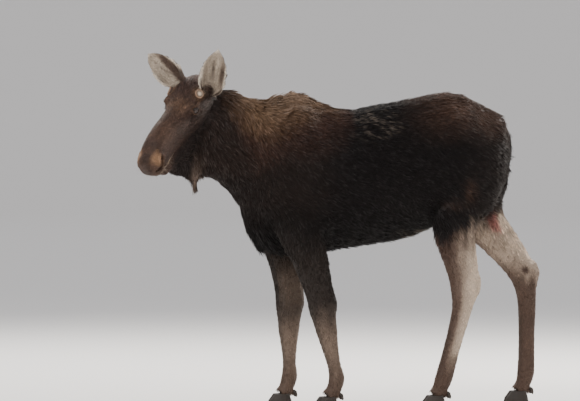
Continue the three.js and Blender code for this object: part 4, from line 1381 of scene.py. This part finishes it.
# %% A node tree that plants bristles
def bristle_tree(name):
    tree = bpy.data.node_groups.new(name, "GeometryNodeTree")
    add_sockets(tree, {"Geometry": ("Geometry", None), "Length": ("Float", 0.04),
                       "Thickness": ("Float", 0.0005), "Per square metre": ("Float", 3000.0),
                       "Spread": ("Float", 0.5), "Seed": ("Int", 3),
                       "Material": ("Material", None)}, {"Geometry": ("Geometry", None)})
    given = wired(tree, "NodeGroupInput").outputs
    points = wired(tree, "GeometryNodeDistributePointsOnFaces",
                   {"Mesh": given["Geometry"], "Density": given["Per square metre"],
                    "Seed": given["Seed"]}).outputs
    cone = wired(tree, "GeometryNodeMeshCone",
                 {"Vertices": 5, "Radius Top": 0.0, "Radius Bottom": given["Thickness"],
                  "Depth": given["Length"]})
    turn = wired(tree, "FunctionNodeRandomValue",
                 {"Min": (-1, -1, -1), "Max": (1, 1, 1), "Seed": given["Seed"]},
                 data_type="FLOAT_VECTOR")
    scaled = wired(tree, "ShaderNodeVectorMath",
                   {0: turn.outputs["Value"], "Scale": given["Spread"]}, operation="SCALE")
    way = wired(tree, "ShaderNodeVectorMath",
                {0: points["Normal"], 1: scaled.outputs["Vector"]})
    aim = wired(tree, "FunctionNodeAlignRotationToVector", {"Vector": way.outputs["Vector"]})
    size = wired(tree, "FunctionNodeRandomValue", {2: 0.5, 3: 1.1, "Seed": given["Seed"]})
    plant = wired(tree, "GeometryNodeInstanceOnPoints",
                  {"Points": points["Points"], "Instance": cone.outputs["Mesh"],
                   "Rotation": aim.outputs["Rotation"], "Scale": size.outputs[1]})
    real = wired(tree, "GeometryNodeRealizeInstances", {"Geometry": plant.outputs["Instances"]})
    coated = wired(tree, "GeometryNodeSetMaterial",
                   {"Geometry": real.outputs["Geometry"], "Material": given["Material"]})
    wired(tree, "NodeGroupOutput", {"Geometry": coated.outputs["Geometry"]})
    return tree


bristles = bristle_tree("bristles")
print("bristle tree with", len(bristles.nodes), "nodes")


# %% Planting them
def patch_of_skin(name, near):
    """A copy of the skin's faces whose corners are all near, to plant bristles on."""
    used = near[skin_tri].all(axis=1)
    chosen, index = np.unique(skin_tri[used], return_inverse=True)
    return mesh_object(name, skin_co[chosen], index.reshape(-1, 3))


def planted(name, near, material, **sizes):
    obj = patch_of_skin(name, near)
    modifier = obj.modifiers.new("bristles", "NODES")
    modifier.node_group = bristles
    ids = {item.name: item.identifier for item in bristles.interface.items_tree
           if item.in_out == "INPUT"}
    for label, value in sizes.items():
        modifier[ids[label.replace("_", " ")]] = value
    modifier[ids["Material"]] = material
    return finished(obj)


# %% [markdown]
# ## Materials
# Hair takes its colour from the markings, streaked along each blade. The skin below has the same
# colours, broken up by a short-haired grain, so that short flat fur reads as fur between tufts.
# All of them, and horn and bone, need streaks of their own fineness, so the streaks are one
# node group with named inputs.

# %% Shared effects
def math_node(tree, operation, *values):
    return wired(tree, "ShaderNodeMath", enumerate(values), operation=operation).outputs[0]


def streaks():
    """Fine light and dark lines that run along a pattern's own Y."""
    tree = bpy.data.node_groups.new("hair streaks", "ShaderNodeTree")
    add_sockets(tree, {"Color": ("Color", None), "Vector": ("Vector", None),
                       "Fineness": ("Float", 8.0), "Stretch": ("Float", 0.12),
                       "Contrast": ("Float", 0.5)},
                {"Color": ("Color", None), "Roughness": ("Float", None),
                 "Height": ("Float", None)})
    given = wired(tree, "NodeGroupInput").outputs
    finer = wired(tree, "ShaderNodeVectorMath",
                  {0: given["Vector"], "Scale": given["Fineness"]}, operation="SCALE")
    axis = wired(tree, "ShaderNodeSeparateXYZ", {0: finer.outputs["Vector"]}).outputs
    drawn_out = wired(tree, "ShaderNodeCombineXYZ",
                      {"X": axis["X"], "Z": axis["Z"],
                       "Y": math_node(tree, "MULTIPLY", axis["Y"], given["Stretch"])})
    noise = wired(tree, "ShaderNodeTexNoise",
                  {"Scale": 1.0, "Detail": 3.0, "Vector": drawn_out.outputs["Vector"]})
    noise = noise.outputs["Fac"]
    centred = math_node(tree, "SUBTRACT", noise, 0.5)
    contrast = math_node(tree, "MULTIPLY", centred, given["Contrast"])
    gain = math_node(tree, "MULTIPLY_ADD", contrast, 3.0, 1.0)
    tint = wired(tree, "ShaderNodeVectorMath", {0: given["Color"], "Scale": gain},
                 operation="SCALE")
    wired(tree, "NodeGroupOutput",
          {"Color": tint.outputs["Vector"], "Height": noise,
           "Roughness": math_node(tree, "MULTIPLY_ADD", noise, 0.25, 0.48)})
    return tree


hair_streaks = streaks()
print("shared effect:", hair_streaks.name)


# %% Materials for hair, skin, horn and bone
def new_material(name):
    material = bpy.data.materials.new(name)
    material.use_nodes = True
    tree = material.node_tree
    return material, tree, tree.nodes["Principled BSDF"]


def streaked(name, where, fineness, stretch, contrast, bump_depth, specular):
    """A material of streaked markings; where is a UV map's name, or None for the place itself."""
    material, tree, shader = new_material(name)
    if where:
        spot = wired(tree, "ShaderNodeUVMap", uv_map=where).outputs["UV"]
    else:
        spot = wired(tree, "ShaderNodeTexCoord").outputs["Object"]
    marked = wired(tree, "ShaderNodeAttribute", attribute_name="markings")
    hair = wired(tree, "ShaderNodeGroup",
                 {"Color": marked.outputs["Color"], "Vector": spot, "Fineness": fineness,
                  "Stretch": stretch, "Contrast": contrast}, node_tree=hair_streaks).outputs
    relief = wired(tree, "ShaderNodeBump",
                   {"Strength": 0.6, "Distance": bump_depth, "Height": hair["Height"]})
    feed(tree, shader, {"Base Color": hair["Color"], "Roughness": hair["Roughness"],
                        "Normal": relief.outputs["Normal"], "Specular IOR Level": specular})
    return material


long_hair = streaked("winter hair", "strand", 9.0, 0.15, 0.35, 0.0008, specular=0.14)
short_hair = streaked("short hair", "strand", 6.0, 0.2, 0.25, 0.0004, specular=0.22)
skin_finish = streaked("skin under the coat", None, 420.0, 0.5, 0.45, 0.0012, specular=0.2)
horn_finish = streaked("horn", None, 160.0, 1.0, 0.30, 0.0006, specular=0.4)
bone_finish = streaked("shed scar", None, 260.0, 1.0, 0.40, 0.0010, specular=0.3)
for finish in (long_hair, short_hair, skin_finish, horn_finish, bone_finish):
    print(f"{finish.name:20s} {len(finish.node_tree.nodes)} nodes")

# %% Eyes, whiskers
def ramped(tree, factor, first, last, *between):
    """Colours from first to last as factor goes from 0 to 1, by those between and their places."""
    node = wired(tree, "ShaderNodeValToRGB", {"Fac": factor})
    stops = node.color_ramp.elements
    stops[0].color, stops[1].color = (*first, 1), (*last, 1)
    for place, tone in between:
        stops.new(place).color = (*tone, 1)
    return node.outputs["Color"]


def eye_material():
    """Brown rings round a dark pupil, under a wet coat."""
    material, tree, shader = new_material("wet eye")
    iris, pupil = (wired(tree, "ShaderNodeAttribute", attribute_name=name).outputs["Fac"]
                   for name in ("iris", "pupil"))
    rings = ramped(tree, math_node(tree, "MULTIPLY", iris, 0.8),
                   colour(62, 38, 22), colour(60, 50, 46), (0.92, colour(24, 16, 12)))
    edge = wired(tree, "ShaderNodeMapRange", {"Value": pupil, "From Min": 0.9, "From Max": 1.1})
    dark = wired(tree, "ShaderNodeMix",
                 {"Factor": edge.outputs["Result"], 6: (0.002, 0.002, 0.003, 1), 7: rings},
                 data_type="RGBA")
    feed(tree, shader, {"Base Color": dark.outputs[2], "Roughness": 0.25,
                        "Specular IOR Level": 0.35, "Coat Weight": 0.55, "Coat Roughness": 0.02})
    return material


def bristle_material(name, tone):
    material, tree, shader = new_material(name)
    spot = wired(tree, "ShaderNodeTexCoord").outputs["Object"]
    noise = wired(tree, "ShaderNodeTexNoise", {"Scale": 60.0, "Vector": spot}).outputs["Fac"]
    feed(tree, shader, {"Base Color": ramped(tree, noise, tone * 0.6, tone * 1.5),
                        "Roughness": 0.45, "Specular IOR Level": 0.4})
    return material


skin_q = in_head(skin_co)
folded_q = both_sides(skin_q)
lip_line = distance_to(MOUTH, folded_q)
near_lip = (lip_line > 0.007) & (lip_line < 0.034) & (skin_q[:, 1] > 0.53) & (skin_q[:, 1] < 0.72)
whiskers = planted("whiskers", near_lip, bristle_material("whisker", colour(150, 130, 112)),
                   Length=0.038, Thickness=0.00045, Per_square_metre=5200.0, Spread=0.7, Seed=5)
lash_zone = np.zeros(len(skin_co), bool)
for s in EYES:
    r, ahead, a, b = eye_angles(skin_q, s)
    opening = eye_opening(a, b)
    lash_zone |= (r < 0.032) & (ahead > 0) & (opening > 1.0) & (opening < 1.35) & (b > 0.12)
lashes = planted("lashes", lash_zone, bristle_material("lash", colour(30, 24, 22)),
                 Length=0.017, Thickness=0.00035, Per_square_metre=160000.0, Spread=0.35, Seed=9)
print("whiskers", len(whiskers.data.polygons), "faces, lashes", len(lashes.data.polygons))

# %% [markdown]
# ## The pieces on the body
# Every piece rides on the one still body, and takes the place of the solids that it stands for.

# %% Materials and nodes
def dress(obj, material, slot, *nodes):
    if material:
        obj.data.materials.clear()
        obj.data.materials.append(material)
    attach(obj, "root")
    if nodes:
        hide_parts(*nodes)


dress(skin, skin_finish, "coat", *FLESH_NODES)
SLOTS = {"face": "face", "muzzle": "face", "ears": "ear", "neck": "neck", "bell": "bell",
         "lower_legs": "leg"}
SHORT_HAIRED = ("face", "muzzle", "ears", "lower_legs")
for name, piece in coat.items():
    dress(piece, short_hair if name in SHORT_HAIRED else long_hair, SLOTS.get(name, "coat"))
wet_eye = eye_material()
dress(eyes[LEFT], wet_eye, "eye", "eye_left")
dress(eyes[RIGHT], wet_eye, "eye", "eye_right")
for node, piece in pedicles.items():
    dress(piece, bone_finish, "pedicle", node)
dress(hooves, horn_finish, "hoof", *HOOF_NODES)
dress(claws, horn_finish, "hoof", *CLAW_NODES)
dress(whiskers, None, "face")
dress(lashes, None, "face")
print("the coat rides in", len(coat), "pieces")

# %% [markdown]
# ## Floor, lights and camera
# A plain pale floor runs out all round the moose and curves up far away. The camera stands far
# off to the left with a long lens, level and a little above the middle of the body.

# %% Floor
CAMERA_TURN = math.radians(80)        # from straight ahead round to the animal's left
towards_camera = np.array([math.sin(CAMERA_TURN), -math.cos(CAMERA_TURN), 0])
camera_right = np.array([math.cos(CAMERA_TURN), math.sin(CAMERA_TURN), 0])


def backdrop():
    """A wide round floor whose edge curves up far away on every side."""
    flat, radius, top, sides = 60.0, 15.0, 30.0, 96
    profile = [(flat + radius * math.sin(a), radius * (1 - math.cos(a)))
               for a in np.linspace(0, math.pi / 2, 25)] + [(flat + radius, top)]
    turns = np.linspace(0, 2 * math.pi, sides, endpoint=False)
    points = [(r * math.cos(a), r * math.sin(a), z) for r, z in profile for a in turns]
    faces = [tuple(range(sides))]
    for k in range(len(profile) - 1):
        for i in range(sides):
            j = (i + 1) % sides
            faces.append((k * sides + i, (k + 1) * sides + i, (k + 1) * sides + j, k * sides + j))
    return mesh_object("floor", points, faces)


floor = backdrop()
paper, paper_tree, paper_shader = new_material("pale paper")
feed(paper_tree, paper_shader, {"Base Color": (*colour(240, 238, 236), 1), "Roughness": 0.9,
                                "Specular IOR Level": 0.2})
floor.data.materials.append(paper)
print("floor of", len(floor.data.polygons), "faces")

# %% Lights
world = bpy.data.worlds.new("studio")
bpy.context.scene.world = world
world.use_nodes = True
feed(world.node_tree, world.node_tree.nodes["Background"],
     {"Color": (*colour(228, 228, 231), 1), "Strength": 0.95})
LIT_POINT = np.array([0, 0, 1.1])     # where every lamp points



def soft_light(name, place, size, power, tint=(1, 1, 1)):
    data = bpy.data.lights.new(name, "AREA")
    data.shape, data.size, data.energy, data.color = "SQUARE", size, power, tint
    to = place[0] * camera_right + place[1] * towards_camera + np.array([0, 0, place[2]])
    aim = unit(LIT_POINT - to)
    right = unit(np.cross(aim, [0, 0, 1]))
    axes = np.stack([right, np.cross(right, aim), -aim], axis=1)
    placed(name, data).matrix_world = Matrix.Translation(to) @ Matrix(axes.tolist()).to_4x4()


soft_light("rim", (4.5, -4.0, 5.0), 2.5, 750, (1.0, 0.95, 0.88))
soft_light("back", (-3.0, -6.0, 6.5), 3.0, 600, (1.0, 0.97, 0.92))
soft_light("key", (-3.5, 5.5, 5.5), 4.0, 360, (1.0, 0.98, 0.95))

# %% Camera
PIXEL = 0.0058                        # metres of the moose to one pixel
DISTANCE, EYE_LEVEL = 20.0, 1.5
WIDE = 580                            # the frame's width in pixels
FRAME_HEIGHT = 1.209                  # how high the frame's middle lies
FRAME_MIDDLE = -0.522                 # how far it lies right of the body's origin
camera_data = bpy.data.cameras.new("camera")
camera = placed("camera", camera_data)
camera_data.lens = camera_data.sensor_width * DISTANCE / PIXEL / WIDE
camera_data.clip_end = 300.0
camera_data.shift_y = (FRAME_HEIGHT - EYE_LEVEL) / PIXEL / WIDE
body_origin = np.array([MIDLINE, RUMP - 0.7914, 0.0])
camera.location = (body_origin + towards_camera * DISTANCE + camera_right * FRAME_MIDDLE
                   + np.array([0, 0, EYE_LEVEL])).tolist()
camera.rotation_euler = (math.pi / 2, 0, CAMERA_TURN)
bpy.context.scene.camera = camera
print("lens", round(camera_data.lens), "mm, shift", round(camera_data.shift_y, 4))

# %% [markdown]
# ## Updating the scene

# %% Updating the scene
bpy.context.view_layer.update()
